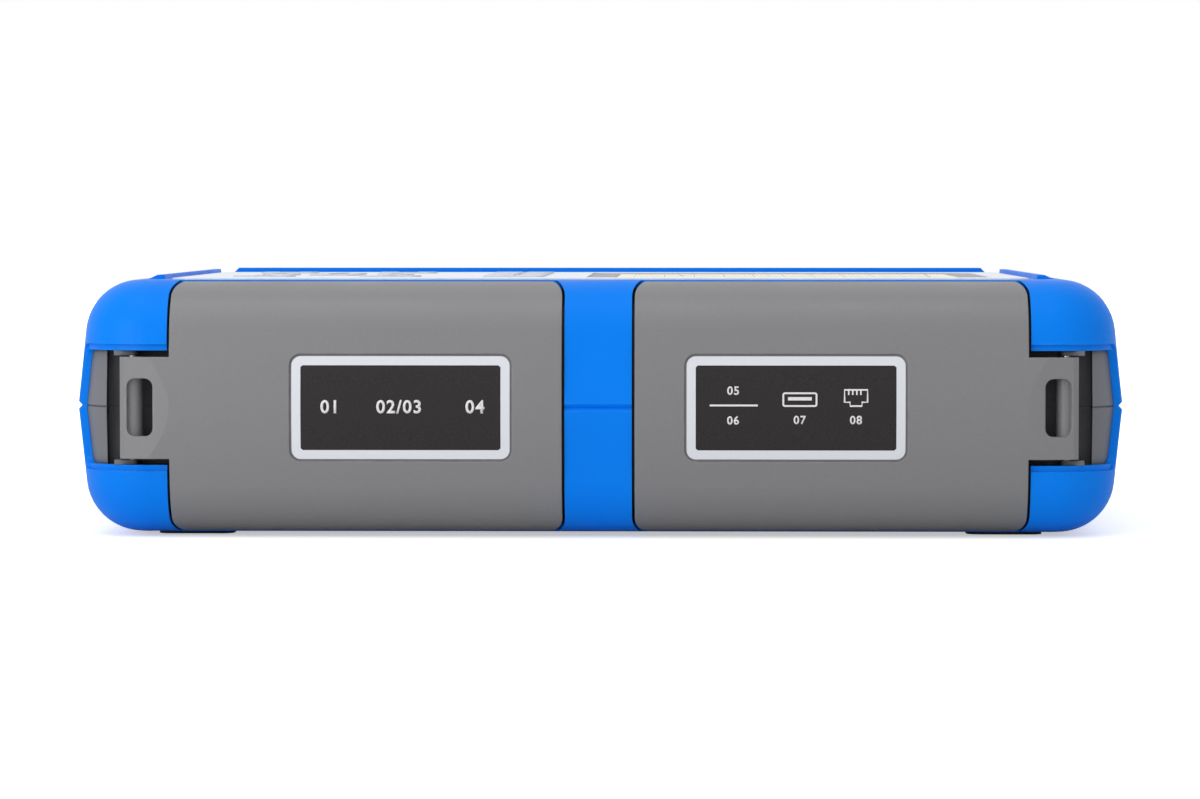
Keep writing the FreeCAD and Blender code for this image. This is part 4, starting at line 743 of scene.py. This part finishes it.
def sheet_mesh(name, corners):
    """A flat sheet of four corners that belongs to the stage."""
    mesh = bpy.data.meshes.new(name)
    mesh.from_pydata(corners, [], [(0, 1, 2, 3)])
    made = bpy.data.objects.new(name, mesh)
    scene.collection.objects.link(made)
    return made


FLOOR_HALF = 3
FLOOR_GAP = 0.1 * MM
FLOOR_Z = cad_bounds[0][2] - FLOOR_GAP
floor = sheet_mesh("floor", [(-FLOOR_HALF, -FLOOR_HALF, FLOOR_Z), (FLOOR_HALF, -FLOOR_HALF, FLOOR_Z),
                             (FLOOR_HALF, FLOOR_HALF, FLOOR_Z), (-FLOOR_HALF, FLOOR_HALF, FLOOR_Z)])
floor.data.materials.append(floor_paper())

# The world lights the part softly, and is plain white to the camera, in reflections and
# through anything clear.
SOFT_LIGHT = 0.66
PLAIN_WHITE = 1.0
world = bpy.data.worlds.new("studio")
scene.world = world
world.use_nodes = True
wt = world.node_tree


def larger(a, b):
    """The larger of two values in the world's nodes."""
    node = wt.nodes.new("ShaderNodeMath")
    node.operation = "MAXIMUM"
    wt.links.new(a, node.inputs[0])
    wt.links.new(b, node.inputs[1])
    return node.outputs[0]


def backdrop(node, strength):
    """A white background of one strength."""
    node.inputs["Color"].default_value = WHITE
    node.inputs["Strength"].default_value = strength
    return node.outputs[0]


ray = wt.nodes.new("ShaderNodeLightPath").outputs
chosen = wt.nodes.new("ShaderNodeMixShader")
wt.links.new(larger(ray["Is Camera Ray"], larger(ray["Is Transmission Ray"], ray["Is Glossy Ray"])),
             chosen.inputs[0])
wt.links.new(backdrop(wt.nodes["Background"], SOFT_LIGHT), chosen.inputs[1])
wt.links.new(backdrop(wt.nodes.new("ShaderNodeBackground"), PLAIN_WHITE), chosen.inputs[2])
wt.links.new(chosen.outputs[0], wt.nodes["World Output"].inputs["Surface"])


def facing(place, aim):
    """The turn that points a lamp or the camera from a place at an aim."""
    return (Vector(aim) - Vector(place)).to_track_quat("-Z", "Y").to_euler()


# name, place, aim, width and height in metres, power in watts
LAMPS = (
    ("key_softbox", (-0.35, -0.75, 1.15), (0, -0.05, 0.03), (1.2, 0.9), 3.4),
    ("fill_softbox", (0.85, -1.3, 0.55), (0, -0.08, 0.03), (0.9, 0.9), 0.3),
    ("front_softbox", (-0.58, -0.66, 0.20), (-0.10, -0.08, 0.03), (0.5, 0.35), 2.0),
    ("top_softbox", (0.1, 0.55, 1.3), (0, 0.0, 0.05), (1.3, 1.0), 1.6),
    ("edge_strip", (-0.12, -0.30, 0.95), (-0.02, -0.08, 0.05), (1.0, 0.08), 1.0),
)
for name, place, aim, size, power in LAMPS:
    data = bpy.data.lights.new(name, "AREA")
    data.shape = "RECTANGLE"
    data.size, data.size_y = size
    data.energy = power
    made = bpy.data.objects.new(name, data)
    made.location = place
    made.rotation_euler = facing(place, aim)
    scene.collection.objects.link(made)

# ------------------------------------------------------------------ camera
SENSOR_MM = 36
LENS_MM = 131.4
CLIP_START = 0.05
CAMERA_PLACE = (0.021, -1.114, 0.075)
CAMERA_AIM = (0.00047, -0.084, 0.0330)

camera_data = bpy.data.cameras.new("camera")
camera_data.sensor_width = SENSOR_MM
camera_data.lens = LENS_MM
camera_data.clip_start = CLIP_START
camera = bpy.data.objects.new("camera", camera_data)
camera.location = CAMERA_PLACE
camera.rotation_euler = facing(CAMERA_PLACE, CAMERA_AIM)
scene.collection.objects.link(camera)
scene.camera = camera
scene.view_settings.view_transform = "Standard"
